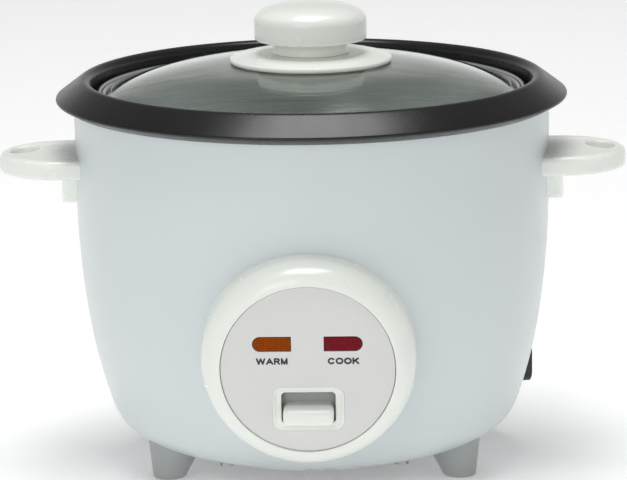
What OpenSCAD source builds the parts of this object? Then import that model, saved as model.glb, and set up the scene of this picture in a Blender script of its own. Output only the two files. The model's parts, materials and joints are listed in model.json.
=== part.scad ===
// Electric rice cooker with a cook and keep-warm lever, a removable pot and a glass lid.
// The origin is on the surface that it stands on, under the middle of the pot.
// +Z is up and the control panel faces -Y. The lever is down, in its cook position.
// Millimetres.

/* [Shell] */
// Radius of the painted shell under the top ring
shell_r = 107.9; // [88:0.1:132]
// Height of the shell's upper edge
shell_top_z = 165.2; // [150:0.1:200]
// Thickness of the shell's sheet
shell_wall = 1; // [0.8:0.1:1.6]
// Height at which the side starts to draw in
waist_z = 128; // [110:1:135]
// How far the side has drawn in where the bottom corner starts
belly = 14.8; // [10:0.1:18]
// Height at which the bottom corner starts
corner_z = 28.8; // [25:0.1:33]
// Height of the shell's flat underside
base_z = 8.8; // [7.5:0.1:11]
// Radius of the flat underside
base_r = 60.8; // [58.5:0.1:63]
// Radius of the service hole in the underside
service_r = 52; // [46:0.1:52]

/* [Top ring] */
// How far the ring's lip stands out from the shell
lip_out = 8.1; // [6:0.1:10]
// Height of the lip above the shell's edge
lip_up = 3.3; // [2.5:0.1:4.5]
// Height of the ring's crest above the shell's edge
crest_up = 12.8; // [12:0.1:15]
// Radius of the rounded crest
crest_round = 3.6; // [2:0.1:4]
// Distance from the shell's surface in to the ring's opening
opening_in = 8.1; // [7.5:0.1:9]
// Width of the ledge inside the opening
ledge_w = 5.8; // [5:0.1:6.5]
// Height of the ledge above the shell's edge
ledge_up = 0; // [-1:0.1:1]
// Thickness of the ledge
ledge_t = 1.6; // [1.2:0.1:2]

/* [Pot] */
// Thickness of the pot's wall
pot_wall = 1.2; // [0.8:0.1:2]
// Outer radius of the pot's bottom corner
pot_corner = 20; // [16:0.5:24]
// Gap between the pot's wall and the ring's ledge
pot_gap = 3; // [2.5:0.1:4]
// Gap between the pot's rim and the ring's opening
rim_gap = 2.9; // [2:0.1:3.5]
// Height of the pot's rim above the ring's ledge
rim_lift = 0.5; // [0.3:0.1:1]
// Height of the raised lip on the pot's rim
bead_h = 6.6; // [5:0.1:7]
// Gap between the seated pot and the heater plate
seat_gap = 0.1; // [0.05:0.05:0.3]

/* [Lid] */
// Gap between the lid's rim and the lip on the pot's rim
lid_gap = 0.3; // [0.2:0.1:1]
// Thickness of the glass
glass_t = 2.8; // [2.4:0.1:3.4]
// Rise of the glass from its edge to its middle
glass_rise = 14; // [10:0.1:18]
// Radius of the steam hole
steam_r = 2.5; // [1.5:0.1:3]
// Distance of the steam hole from the lid's middle
steam_y = 56; // [45:1:62]

/* [Knob] */
// Radius of the knob's cap
cap_r = 25.5; // [20:0.1:30]
// Height of the knob's cap
cap_h = 17.4; // [14:0.1:20]
// Radius of the knob's neck
neck_r = 17.5; // [12:0.1:18]
// Height of the neck between the disc and the cap
neck_h = 7.6; // [5:0.1:10]
// Radius of the disc under the knob
disc_r = 36.8; // [30:0.1:40]
// Thickness of the disc
disc_t = 2.6; // [2:0.1:4]
// Radius of the seal under the glass
seal_r = 24; // [18:0.1:26]

/* [Handles] */
// How far a handle stands out from the shell
handle_out = 34.7; // [30:0.1:40]
// Width of a handle
handle_w = 58; // [50:0.5:70]
// Depth of the handle's plate below its crown
handle_h = 11; // [9:0.1:13]
// Distance from the shell's upper edge down to the handle's crown
handle_drop = 19.3; // [15:0.1:30]
// Width of the finger hole along the shell
finger_w = 17; // [14:0.1:20]
// Depth of the finger hole away from the shell
finger_d = 13; // [11:0.1:14]
// Width of the root below the plate
root_w = 37; // [30:0.5:44]
// Depth of the root below the plate
root_h = 15; // [12:0.5:18]
// Thickness of the root
root_t = 6.4; // [5.5:0.1:8]

/* [Control panel] */
// Height of the middle of the bezel's outer edge
panel_z = 69.7; // [68:0.1:74]
// Downward tilt of the panel in degrees
panel_tilt = 8; // [6:0.5:10]
// Distance from the shell to the bezel's outer edge
panel_out = 3.3; // [2.5:0.1:5]
// Radius of the bezel
bezel_r = 47; // [45:0.1:49]
// Radius of the face inside the bezel
face_r = 38.2; // [37:0.1:39]
// Height of the face above the bezel's outer edge
face_h = 12.3; // [11:0.1:14]
// Thickness of the bezel's wall
bezel_wall = 2; // [1.5:0.1:2.5]
// Thickness of the face plate
fascia_t = 2.2; // [1.8:0.1:3]
// Depth of the face plate below the bezel's crease
fascia_sink = 0.6; // [0.3:0.1:1]
// Width of a lamp lens
lens_w = 16.9; // [14:0.1:18]
// Height of a lamp lens
lens_h = 6.9; // [5.5:0.1:8]
// Distance of each lens from the panel's middle line
lens_x = 15.5; // [14:0.1:17]
// Height of the lenses above the middle of the face
lens_y = 11.9; // [10:0.1:13]

/* [Lever] */
// Width of the lever's opening
slot_w = 23.6; // [22:0.1:26]
// Height of the lever's opening
slot_h = 14.4; // [14:0.1:16]
// Distance of the opening's middle below the middle of the face
slot_y = 18; // [17:0.1:19]
// Width of the lever's button
button_w = 22; // [18:0.1:22]
// Height of the lever's button
button_h = 6.4; // [5.5:0.1:6.6]
// Gap between the lowered button and the opening's lower edge
button_gap = 1.5; // [1.3:0.1:1.8]
// How far the button stands out from the face
button_out = 7; // [5:0.1:9]
// Radius of the lever's pivot pin
pin_r = 1.5; // [1.2:0.1:1.8]
// Radial running clearance on the pivot pin
pin_clear = 0.05; // [0.02:0.01:0.1]
// Distance of the pivot behind the bezel's outer edge
pivot_in = 38; // [36:0.5:40]
// Height of the pivot
pivot_z = 38; // [37:0.5:39]

/* [Heater] */
// Height of the heater plate's top
plate_z = 66; // [65:0.1:68]
// Thickness of the heater plate
plate_t = 8; // [7:0.1:9]
// Distance from the pot's wall in to the heater plate's edge
plate_in = 13; // [12:0.5:20]
// Radius of the heating element's tube
element_r = 3.6; // [3:0.1:4]
// Radius of the heating element's ring
element_ring_r = 58; // [54:0.5:58]
// Height of the heat shield's floor
shield_z = 48; // [47.5:0.1:49]
// Thickness of the heat shield's sheet
shield_wall = 0.8; // [0.6:0.1:1.2]
// Radius of the heat shield's floor
shield_floor_r = 80; // [78:0.5:82]

/* [Thermostat] */
// Radius of the sensor's cap
sensor_r = 15.5; // [15:0.1:16]
// Gap round the sensor's cap
sensor_gap = 2; // [1:0.1:3]
// Radius of the magnet
magnet_r = 10; // [9:0.1:10.5]
// Thickness of the magnet
magnet_t = 5.6; // [5:0.1:6]
// Radius of the pull rod
rod_r = 2; // [1.5:0.1:2.2]
// Radial running clearance on the pull rod
rod_clear = 0.06; // [0.02:0.01:0.1]

/* [Feet] */
// Distance of the feet from the middle
foot_ring_r = 76.6; // [74:0.1:78]
// Angle of the front right foot behind the X axis
foot_angle = 30; // [26:1:36]
// Half angle of a foot's taper
foot_taper = 18; // [10:1:20]
// Inward lean of a foot
foot_lean = 13; // [8:1:14]
// Radius of a foot's lower face
foot_r = 7; // [6:0.1:9]

/* [Power inlet] */
// Angle of the inlet behind the X axis
inlet_angle = 18; // [14:1:26]
// Height of the inlet's middle
inlet_z = 39.5; // [39:0.1:40]
// Width of the inlet's flange
inlet_w = 33; // [32:0.5:36]
// Height of the inlet's flange
inlet_h = 20; // [18:0.5:21]
// How far the inlet's flange stands out from the shell
inlet_out = 3.3; // [2:0.1:5]

/* [Hidden] */
$fn = 96;

// Small allowances that the pieces share
over = 1;
fit = 0.1;
screw_r = 1.75;
screw_head_r = 3.2;
screw_head_h = 2;
screw_hole_r = screw_r + 0.2;

// Cubic curves, their directions, and points moved to the left of their course
function bez(p, t) =
    pow(1 - t, 3) * p[0] + 3 * pow(1 - t, 2) * t * p[1] + 3 * (1 - t) * t * t * p[2] + pow(t, 3) * p[3];
function bez_dir(p, t) =
    pow(1 - t, 2) * (p[1] - p[0]) + 2 * (1 - t) * t * (p[2] - p[1]) + t * t * (p[3] - p[2]);
function unit(v) = v / norm(v);
function inset(p, t, d) = let(v = unit(bez_dir(p, t))) bez(p, t) + d * [v[1], -v[0]];
function curve(p, n, d = 0) = [for (i = [0:n]) inset(p, i / n, d)];
function reversed(list) = [for (i = [len(list) - 1:-1:0]) list[i]];
function arc(c, r, a0, a1, n) =
    [for (i = [0:n]) let(a = a0 + (a1 - a0) * i / n) c + r * [cos(a), sin(a)]];

// The shell's side and bottom corner, as radius and height
corner_r = shell_r - belly;
side = [
    [shell_r - 0.3, waist_z],
    [shell_r - 0.5, waist_z - 32],
    [corner_r + 10.8, corner_z + 30],
    [corner_r, corner_z]
];
corner = [
    [corner_r, corner_z],
    [corner_r - 4.7, corner_z - 13],
    [base_r + 16.8, base_z + 4],
    [base_r, base_z]
];
function shell_line(d) = concat(
    [[shell_r - d, shell_top_z]],
    curve(side, 10, d),
    [for (i = [1:10]) inset(corner, i / 10, d)],
    [[service_r, base_z + d]]
);
shell_points = concat([[shell_r, shell_top_z]], curve(side, 10), curve(corner, 10));
shell_table = [for (p = reversed(shell_points)) [p[1], p[0]]];
function shell_r_at(z) = lookup(z, shell_table);
function shell_y_at(x, z) = -sqrt(pow(shell_r_at(z), 2) - x * x);

// Top ring
opening_r = shell_r - opening_in;
ledge_r = opening_r - ledge_w;
ledge_z = shell_top_z + ledge_up;
crest_z = shell_top_z + crest_up;
shield_r = ledge_r + 3;

// Pot and lid
pot_r = ledge_r - pot_gap;
pot_z = plate_z + seat_gap;
rim_r = opening_r - rim_gap;
rim_z = ledge_z + rim_lift;
bead_r = 0.8;
lid_rim_r = rim_r - 2 * bead_r - lid_gap;
lid_z = rim_z + pot_wall + fit;
glass_r = lid_rim_r - 1;
glass_z = lid_z + 0.5;
glass_power = 3.4;
disc_z = glass_top(disc_r) + 0.2;
cap_z = disc_z + disc_t + neck_h;
bolt_r = 3;

// Control panel
panel_y = -(shell_r_at(panel_z) + panel_out);
fascia_w = face_h - fascia_sink - fascia_t;
panel_hole_r = 36;
boss_ring_r = 40.5;
boss_angles = [90, 210, 330];
boss_r = 2.6;
panel_screw_r = 1.3;

// Lever, with the heights of its arm under the heat shield
button_low = -slot_y - slot_h / 2 + button_gap;
pivot_y = panel_y + pivot_in;
hub_r = 4;
ear_x = 8.2;
ear_t = 1.2;
arm_w = 10;
arm_t = 2;
fork_z = pivot_z - 5;
fork_gap = 1.2;
bracket_t = 1.2;

// Thermostat
element_z = shield_z + 9;
ferrite_z = plate_z - 6;
ferrite_t = 4.8;
magnet_z = ferrite_z - 0.2 - magnet_t;
recess_r = 5.2;
recess_h = 4;
housing_r = 13.5;
housing_z = shield_z - 4;
housing_wall = 0.8;
collar_r = 4.5;
collar_h = 1.5;

// Places that repeat
foot_angles = [-foot_angle, 180 + foot_angle, 180 - foot_angle, foot_angle];
post_angles = [45, 135, 225, 315];
post_ring_r = 56;
post_r = 4;
standoff_angles = [90, 210, 330];
standoff_ring_r = 70;
standoff_r = 4;
handle_screw_y = 12;
element_end = 22;

// A tube swept along a route, kept square to it without twisting
function heading(p, i) = unit(p[min(i + 1, len(p) - 1)] - p[max(i - 1, 0)]);
function across(n, t) = unit(n - (n * t) * t);
function normals(p, up) =
    [for (i = 0, n = across(up, heading(p, 0)); i < len(p); i = i + 1,
        n = across(n, heading(p, min(i, len(p) - 1)))) n];
function spline(a, b, c, d, t) =
    0.5 * (2 * b + (c - a) * t + (2 * a - 5 * b + 4 * c - d) * t * t + (3 * b - a - 3 * c + d) * pow(t, 3));
function route(p, n) = concat(
    [for (i = [0:len(p) - 2], k = [0:n - 1])
        spline(p[max(i - 1, 0)], p[i], p[i + 1], p[min(i + 2, len(p) - 1)], k / n)],
    [p[len(p) - 1]]
);

module tube(p, r, sides, up) {
    n = normals(p, up);
    points = [
        for (i = [0:len(p) - 1], k = [0:sides - 1])
            let(a = 360 * k / sides, b = cross(heading(p, i), n[i]))
                p[i] + r * (cos(a) * n[i] + sin(a) * b)
    ];
    last = (len(p) - 1) * sides;
    walls = [
        for (i = [0:len(p) - 2], k = [0:sides - 1])
            let(a = i * sides + k, b = i * sides + (k + 1) % sides)
                each [[b, a, a + sides], [b, a + sides, b + sides]]
    ];
    polyhedron(
        points = points,
        faces = concat(walls, [[for (k = [0:sides - 1]) k], [for (k = [sides - 1:-1:0]) last + k]])
    );
}

module coil(r, wire_r, z0, z1, turns) {
    steps = 14;
    climb = z1 - z0 - 2 * wire_r;
    turn_points = [
        for (i = [0:turns * steps])
            let(a = 360 * i / steps)
                [r * cos(a), r * sin(a), z0 + wire_r + climb * i / (turns * steps)]
    ];
    tube(turn_points, wire_r, 6, [0, 0, 1]);
}

module at_angles(angles, r) {
    for (a = angles) {
        rotate([0, 0, a]) translate([r, 0, 0]) children();
    }
}

module pan_screw(r, head_r, z0, z1, head_below) {
    translate([0, 0, z0]) cylinder(r = r, h = z1 - z0);
    translate([0, 0, head_below ? z0 - screw_head_h : z1]) cylinder(r = head_r, h = screw_head_h);
}

module shell_solid() {
    rotate_extrude() polygon(concat(shell_line(0), [[0, base_z], [0, shell_top_z]]));
}

module on_panel() {
    translate([0, panel_y, panel_z]) rotate([90 + panel_tilt, 0, 0]) children();
}

// A flat outline with round corners, and the same one extruded
module rounded(w, h, r) {
    square([w - 2 * r, h], center = true);
    square([w, h - 2 * r], center = true);
    for (x = [-1, 1], y = [-1, 1]) {
        translate([x * (w / 2 - r), y * (h / 2 - r)]) circle(r);
    }
}

module slab(w, h, r, z0, z1) {
    translate([0, 0, z0]) linear_extrude(z1 - z0) rounded(w, h, r);
}

module on_inlet() {
    rotate([0, 0, inlet_angle]) translate([shell_r_at(inlet_z), 0, inlet_z])
        rotate([90, 0, 90]) children();
}

// ---- Case ----

module outer_shell() {
    color([0.81, 0.84, 0.85]) difference() {
        rotate_extrude() polygon(concat(shell_line(0), reversed(shell_line(shell_wall))));
        on_panel() translate([0, 0, -panel_out - 60]) cylinder(r = panel_hole_r, h = 60 + panel_out);
        panel_screw_paths(screw_hole_r);
        on_inlet() slab(inlet_body_w + fit, inlet_body_h + fit, 4, -20, 10);
        for (s = [-1, 1], y = [-1, 1]) {
            translate([s * (shell_r - 20), y * handle_screw_y, handle_screw_z])
                rotate([0, s * 90, 0]) cylinder(r = screw_hole_r, h = 30);
        }
        at_angles(foot_angles, foot_ring_r) cylinder(r = screw_hole_r, h = corner_z);
        at_angles(post_angles, post_ring_r) cylinder(r = screw_hole_r, h = corner_z);
    }
}

module top_ring() {
    crest_r = opening_r + crest_round;
    lip_r = shell_r + lip_out;
    lip_z = shell_top_z + lip_up;
    run = [lip_r - crest_r, lip_z + 0.6 - crest_z + crest_round];
    fascia_a = atan2(run[1], run[0]) + acos(crest_round / norm(run));
    color([0.1, 0.1, 0.1]) rotate_extrude() polygon(concat(
        [[lip_r, lip_z], [lip_r, lip_z + 0.6]],
        arc([crest_r, crest_z - crest_round], crest_round, fascia_a, 180, 9),
        [
            [opening_r, ledge_z],
            [ledge_r, ledge_z],
            [ledge_r, ledge_z - ledge_t],
            [opening_r, ledge_z - ledge_t],
            [opening_r, shell_top_z - 8],
            [opening_r + 1.6, shell_top_z - 8],
            [opening_r + 1.6, shell_top_z + 1.6],
            [shell_r - shell_wall - 2.4, shell_top_z + 1.6],
            [shell_r - shell_wall - 2.4, shell_top_z - 9],
            [shell_r - shell_wall - 0.4, shell_top_z - 9],
            [shell_r - shell_wall - 0.4, shell_top_z],
            [shell_r + 2.5, shell_top_z]
        ]
    ));
}

module heat_shield() {
    cone_top_z = shield_z + 42;
    color([0.72, 0.73, 0.74]) difference() {
        rotate_extrude() polygon([
            [housing_r + 0.2, shield_z],
            [shield_floor_r, shield_z],
            [shield_r, cone_top_z],
            [shield_r, ledge_z - ledge_t],
            [shield_r - shield_wall, ledge_z - ledge_t],
            [shield_r - shield_wall, cone_top_z + 0.2],
            [shield_floor_r - 0.5, shield_z + shield_wall],
            [housing_r + 0.2, shield_z + shield_wall]
        ]);
        at_angles(standoff_angles, standoff_ring_r) translate([0, 0, shield_z - over])
            cylinder(r = screw_hole_r, h = 3);
        at_angles(post_angles, post_ring_r) translate([0, 0, shield_z - over])
            cylinder(r = screw_hole_r, h = 3);
        at_angles([90 - element_end, 90 + element_end], element_ring_r) translate([0, 0, shield_z - over])
            cylinder(r = 4, h = 3);
        for (y = bracket_screw_y) translate([0, y, shield_z - over]) cylinder(r = 1.6, h = 3);
    }
}

module bottom_cover() {
    cover_t = 1.2;
    color([0.62, 0.63, 0.64]) difference() {
        translate([0, 0, base_z - cover_t]) cylinder(r = base_r - 2, h = cover_t);
        at_angles(post_angles, post_ring_r) cylinder(r = screw_hole_r, h = base_z + over);
        at_angles([for (i = [0:11]) 15 + 30 * i], 34) translate([0, 0, base_z - 3])
            slab(20, 3.6, 1.7, 0, 5);
    }
}

module support_posts() {
    color([0.7, 0.7, 0.7]) at_angles(post_angles, post_ring_r) difference() {
        translate([0, 0, base_z + shell_wall]) cylinder(r = post_r, h = shield_z - base_z - shell_wall);
        translate([0, 0, base_z]) cylinder(r = screw_r, h = 14);
        translate([0, 0, shield_z - 13]) cylinder(r = screw_r, h = 14);
    }
}

module post_screws() {
    color([0.6, 0.6, 0.6]) at_angles(post_angles, post_ring_r) {
        pan_screw(screw_r, screw_head_r, base_z - 1.2, base_z + 12, true);
        pan_screw(screw_r, screw_head_r, shield_z - 12, shield_z + shield_wall, false);
    }
}

module foot(a) {
    color([0.85, 0.86, 0.86]) difference() {
        rotate([0, 0, a]) translate([foot_ring_r, 0, 0]) rotate([0, -foot_lean, 0])
            translate([0, 0, -4])
                cylinder(r1 = foot_r - 4 * tan(foot_taper), r2 = foot_r + 26 * tan(foot_taper), h = 30);
        translate([-150, -150, -20]) cube([300, 300, 20]);
        shell_solid();
        rotate([0, 0, a]) translate([foot_ring_r, 0, 4]) cylinder(r = screw_r, h = 30);
    }
}

module foot_front_right() {
    foot(foot_angles[0]);
}

module foot_front_left() {
    foot(foot_angles[1]);
}

module foot_rear_left() {
    foot(foot_angles[2]);
}

module foot_rear_right() {
    foot(foot_angles[3]);
}

// The screws are driven down into the feet from inside the shell
foot_seat_z = lookup(-foot_ring_r, [for (p = reversed(curve(corner, 10))) [-p[0], p[1]]]);
foot_head_z = foot_seat_z + shell_wall + 1.6;

module foot_screws() {
    color([0.6, 0.6, 0.6]) at_angles(foot_angles, foot_ring_r)
        pan_screw(screw_r, screw_head_r, 4 + fit, foot_head_z, false);
}

// ---- Handles ----

handle_crown_z = shell_top_z - handle_drop;
handle_screw_z = handle_crown_z - handle_h - root_h / 2 + 0.8;
handle_mid_x = shell_r + handle_out - handle_w / 2;

module handle_section() {
    w = handle_w / 2;
    z0 = handle_crown_z - handle_h;
    polygon(concat(
        [[0, z0], [w - 1.5, z0]],
        arc([w - 1.5, z0 + 1.5], 1.5, -90, 0, 4),
        arc([w - 2.6, handle_crown_z - 5], 2.6, 0, 72, 5),
        [[w * 0.55, handle_crown_z - 0.9], [w * 0.25, handle_crown_z - 0.2], [0, handle_crown_z]]
    ));
}

module handle_root() {
    translate([0, root_w / 2 - root_h]) circle(root_w / 2);
    translate([-root_w / 2, root_w / 2 - root_h]) square([root_w, 6]);
}

module handle_blank() {
    translate([handle_mid_x, 0, 0]) rotate_extrude() handle_section();
    for (m = [0, 1]) mirror([0, m, 0])
        translate([handle_mid_x - 30, 0, 0]) rotate([90, 0, 90]) linear_extrude(30) handle_section();
    intersection() {
        cylinder(r = shell_r + root_t, h = shell_top_z);
        translate([shell_r - 20, 0, handle_crown_z - handle_h]) rotate([90, 0, 90]) linear_extrude(40)
            handle_root();
        translate([0, -root_w, 0]) cube([2 * shell_r, 2 * root_w, handle_crown_z - 4]);
    }
}

module handle() {
    hole_r = finger_d / 2;
    hole_x = shell_r + handle_out - 5 - hole_r;
    hole_y = finger_w / 2 - hole_r;
    color([0.9, 0.91, 0.9]) difference() {
        handle_blank();
        shell_solid();
        translate([hole_x - hole_r, -hole_y, 0]) cube([finger_d, 2 * hole_y, shell_top_z]);
        for (y = [-hole_y, hole_y]) translate([hole_x, y, 0]) cylinder(r = hole_r, h = shell_top_z);
        for (y = [-1, 1]) translate([shell_r - 20, y * handle_screw_y, handle_screw_z])
            rotate([0, 90, 0]) cylinder(r = screw_r, h = 20 + root_t - 1.6);
    }
}

module handle_right() {
    handle();
}

module handle_left() {
    mirror([1, 0, 0]) handle();
}

module handle_screws() {
    head_x = sqrt(pow(shell_r_at(handle_screw_z) - shell_wall, 2) - pow(handle_screw_y + screw_head_r, 2));
    color([0.6, 0.6, 0.6]) for (s = [0, 1], y = [-1, 1]) mirror([s, 0, 0])
        translate([head_x - fit, y * handle_screw_y, handle_screw_z]) rotate([0, 90, 0])
            pan_screw(screw_r, screw_head_r, 0, shell_r + root_t - 2 - head_x, true);
}

// ---- Control panel ----

bezel_band = [[bezel_r, 0], [bezel_r, 5.4], [face_r + 5.6, face_h - 0.6], [face_r + 0.4, face_h]];

module control_bezel() {
    color([0.91, 0.93, 0.92]) difference() {
        union() {
            on_panel() rotate_extrude() polygon(concat(
                [[bezel_r, -30]],
                curve(bezel_band, 10),
                [
                    [face_r, face_h - 0.3],
                    [face_r - 0.1, fascia_w],
                    [face_r - 2.2, fascia_w],
                    [face_r - 2.2, fascia_w - 1.6]
                ],
                reversed(curve(bezel_band, 10, -bezel_wall)),
                [[bezel_r - bezel_wall, -30]]
            ));
            on_panel() for (a = boss_angles)
                translate([boss_ring_r * cos(a), boss_ring_r * sin(a), -30])
                    cylinder(r = boss_r, h = 30 + fascia_w - 0.8);
        }
        shell_solid();
        panel_screw_paths(panel_screw_r);
    }
}

module panel_screw_paths(r) {
    on_panel() for (a = boss_angles)
        translate([boss_ring_r * cos(a), boss_ring_r * sin(a), -30]) cylinder(r = r, h = 30);
}

module lens_outline(s, grow) {
    h = lens_h + 2 * grow;
    w = lens_w + 2 * grow;
    translate([s * lens_x, lens_y]) {
        translate([s * (w - h) / 2, 0]) circle(h / 2);
        translate([-w / 2 + (s > 0 ? 0 : h / 2), -h / 2]) square([w - h / 2, h]);
    }
}

module control_fascia() {
    color([0.85, 0.84, 0.83]) on_panel() difference() {
        translate([0, 0, fascia_w]) cylinder(r = face_r - 0.3, h = fascia_t);
        translate([0, 0, fascia_w - over]) linear_extrude(10) lens_outline(1, 0);
        translate([0, 0, fascia_w - over]) linear_extrude(10) lens_outline(-1, 0);
        translate([0, -slot_y, 0]) slab(slot_w, slot_h, 1.8, fascia_w - over, fascia_w + 5);
        translate([0, -slot_y, 0]) slab(slot_w + 7, slot_h + 5, 4, fascia_w + fascia_t - 0.7, fascia_w + 5);
    }
}

module lens(s) {
    on_panel() translate([0, 0, fascia_w]) linear_extrude(fascia_t + 0.2) lens_outline(s, -fit);
    on_panel() translate([0, 0, fascia_w - 0.8]) linear_extrude(0.8) lens_outline(s, 1);
}

module warm_lens() {
    color([0.75, 0.4, 0.08]) lens(-1);
}

module cook_lens() {
    color([0.55, 0.08, 0.14]) lens(1);
}

lamp_w = 6.2;
lamp_r = 2.3;

module lamp_holder() {
    plate_w = lamp_w - lamp_r;
    color([0.8, 0.8, 0.78]) on_panel() {
        translate([0, lens_y, 0]) slab(58, 10, 2, plate_w - 1.5, plate_w);
        for (x = [-27, 27]) translate([x, lens_y, plate_w]) cylinder(r = 1.8, h = fascia_w - plate_w);
    }
}

module lamp(s) {
    on_panel() translate([s * lens_x - 6, lens_y, lamp_w]) rotate([0, 90, 0]) cylinder(r = lamp_r, h = 12);
}

module warm_lamp() {
    color([0.9, 0.6, 0.3]) lamp(-1);
}

module cook_lamp() {
    color([0.9, 0.4, 0.3]) lamp(1);
}

// The heads stay clear of the curved inside of the shell
function boss_head_w(a) =
    let(
        x = boss_ring_r * cos(a),
        v = boss_ring_r * sin(a),
        y = panel_y - v * sin(panel_tilt),
        z = panel_z + v * cos(panel_tilt),
        low = [for (dx = [-1, 1], dz = [-1, 1])
            shell_y_at(x + dx * screw_head_r, z + dz * screw_head_r)]
    )
    -(max(low) - y) - shell_wall * 1.15;

module panel_screws() {
    color([0.6, 0.6, 0.6]) on_panel() for (a = boss_angles)
        translate([boss_ring_r * cos(a), boss_ring_r * sin(a), 0])
            pan_screw(panel_screw_r, screw_head_r - 0.4, boss_head_w(a), -fit, true);
}

// ---- Heater ----

plate_r = pot_r - plate_in;

module element_shape() {
    sweep = 360 - 2 * element_end;
    translate([0, 0, element_z]) rotate([0, 0, 90 + element_end]) rotate_extrude(angle = sweep)
        translate([element_ring_r, 0]) circle(element_r, $fn = 32);
    at_angles([90 - element_end, 90 + element_end], element_ring_r) {
        translate([0, 0, element_z]) sphere(element_r + 0.8, $fn = 32);
        translate([0, 0, shield_z - 8]) cylinder(r = 1.6, h = element_z - shield_z + 8);
    }
}

module heater_plate() {
    plate_low = plate_z - plate_t;
    color([0.75, 0.76, 0.77]) difference() {
        translate([0, 0, plate_low]) cylinder(r = plate_r, h = plate_t);
        translate([0, 0, plate_low - over]) cylinder(r = sensor_r + sensor_gap, h = plate_t + 2 * over);
        element_shape();
        at_angles(standoff_angles, standoff_ring_r) translate([0, 0, plate_low - over])
            cylinder(r = screw_r, h = 6);
    }
}

module heating_element() {
    color([0.5, 0.5, 0.52]) element_shape();
}

module heater_standoffs() {
    z0 = shield_z + shield_wall;
    color([0.7, 0.7, 0.7]) at_angles(standoff_angles, standoff_ring_r) difference() {
        translate([0, 0, z0]) cylinder(r = standoff_r, h = plate_z - plate_t - z0);
        translate([0, 0, z0 - over]) cylinder(r = screw_r, h = plate_z);
    }
}

module heater_screws() {
    color([0.6, 0.6, 0.6]) at_angles(standoff_angles, standoff_ring_r)
        pan_screw(screw_r, screw_head_r, shield_z, plate_z - plate_t + 5, true);
}

module warm_thermostat() {
    plate_low = plate_z - plate_t;
    color([0.85, 0.8, 0.7]) translate([-36, 14, 0]) {
        translate([0, 0, plate_low - 1.2]) cylinder(r = 8.5, h = 1.2);
        translate([0, 0, plate_low - 7]) cylinder(r = 7.5, h = 6);
        for (x = [-4, 4]) translate([x - 0.4, -2, plate_low - 9]) cube([0.8, 4, 3]);
    }
}

module thermal_fuse() {
    plate_low = plate_z - plate_t;
    color([0.8, 0.78, 0.7]) translate([34, 22, 0]) {
        translate([-9, 0, plate_low - 4]) rotate([0, 90, 0]) cylinder(r = 2.4, h = 18);
        translate([-4, -3.4, plate_low - 4]) cube([8, 6.8, 4]);
    }
}

// ---- Centre thermostat ----

module sensor_cap() {
    skirt_z = plate_z - 12;
    color([0.8, 0.81, 0.82]) difference() {
        translate([0, 0, skirt_z]) cylinder(r = sensor_r, h = plate_z - skirt_z);
        translate([0, 0, skirt_z - over]) cylinder(r = sensor_r - 0.8, h = plate_z - 1.2 - skirt_z + over);
    }
}

module sensor_ferrite() {
    color([0.2, 0.2, 0.22]) difference() {
        translate([0, 0, ferrite_z]) cylinder(r = 12, h = ferrite_t);
        translate([0, 0, ferrite_z - over]) cylinder(r = recess_r, h = ferrite_t + 2 * over);
    }
}

module sensor_spring() {
    color([0.6, 0.6, 0.6]) coil(11.5, 0.4, housing_z + 1.5, ferrite_z, 5);
}

module sensor_housing() {
    flange_z = shield_z + shield_wall;
    color([0.7, 0.7, 0.72]) rotate_extrude() polygon([
        [rod_r + rod_clear, housing_z - 4],
        [4.5, housing_z - 4],
        [4.5, housing_z],
        [housing_r, housing_z],
        [housing_r, flange_z],
        [17, flange_z],
        [17, flange_z + housing_wall],
        [housing_r, flange_z + housing_wall],
        [housing_r, flange_z + 6],
        [housing_r - housing_wall, flange_z + 6],
        [housing_r - housing_wall, housing_z + 1.5],
        [rod_r + rod_clear, housing_z + 1.5]
    ]);
}

module magnet() {
    color([0.25, 0.25, 0.27]) difference() {
        translate([0, 0, magnet_z]) cylinder(r = magnet_r, h = magnet_t);
        translate([0, 0, magnet_z + magnet_t - recess_h]) cylinder(r = recess_r, h = recess_h + over);
    }
}

module magnet_spring() {
    color([0.6, 0.6, 0.6]) coil(4.2, 0.35, magnet_z + magnet_t - recess_h, ferrite_z + ferrite_t, 5);
}

module pull_rod() {
    color([0.75, 0.65, 0.35]) {
        translate([0, 0, fork_z - 6]) cylinder(r = rod_r, h = magnet_z - fork_z + 6);
        for (z = [fork_z - fork_gap - collar_h, fork_z + arm_t + fork_gap]) translate([0, 0, z])
            cylinder(r = collar_r, h = collar_h);
    }
}

// ---- Lever and switch ----

bracket_y = [pivot_y - 7.5, -28];
bracket_screw_y = [pivot_y + 8.5, -31];
switch_y = pivot_y + 12;
plunger_y = switch_y + 10;

module pivot_bracket() {
    color([0.72, 0.73, 0.74]) difference() {
        union() {
            translate([-10, bracket_y[0], shield_z - bracket_t])
                cube([20, bracket_y[1] - bracket_y[0], bracket_t]);
            for (s = [0, 1]) mirror([s, 0, 0]) translate([ear_x, pivot_y - 5, pivot_z - 4.5])
                cube([ear_t, 10, shield_z - pivot_z + 4.5 - bracket_t / 2]);
        }
        translate([-20, pivot_y, pivot_z]) rotate([0, 90, 0]) cylinder(r = pin_r, h = 40);
        for (y = bracket_screw_y) translate([0, y, shield_z - 5]) cylinder(r = 1.5, h = 10);
    }
}

module bracket_screws() {
    color([0.6, 0.6, 0.6]) for (y = bracket_screw_y) translate([0, y, 0])
        pan_screw(1.5, 2.5, shield_z - bracket_t, shield_z + 4, true);
}

module pivot_pin() {
    reach = ear_x + ear_t;
    color([0.7, 0.7, 0.7]) translate([0, pivot_y, pivot_z]) rotate([0, 90, 0]) {
        translate([0, 0, -reach - 1]) cylinder(r = pin_r, h = 2 * reach + 2);
        translate([0, 0, reach]) cylinder(r = pin_r + 1.1, h = 1);
    }
}

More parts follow.
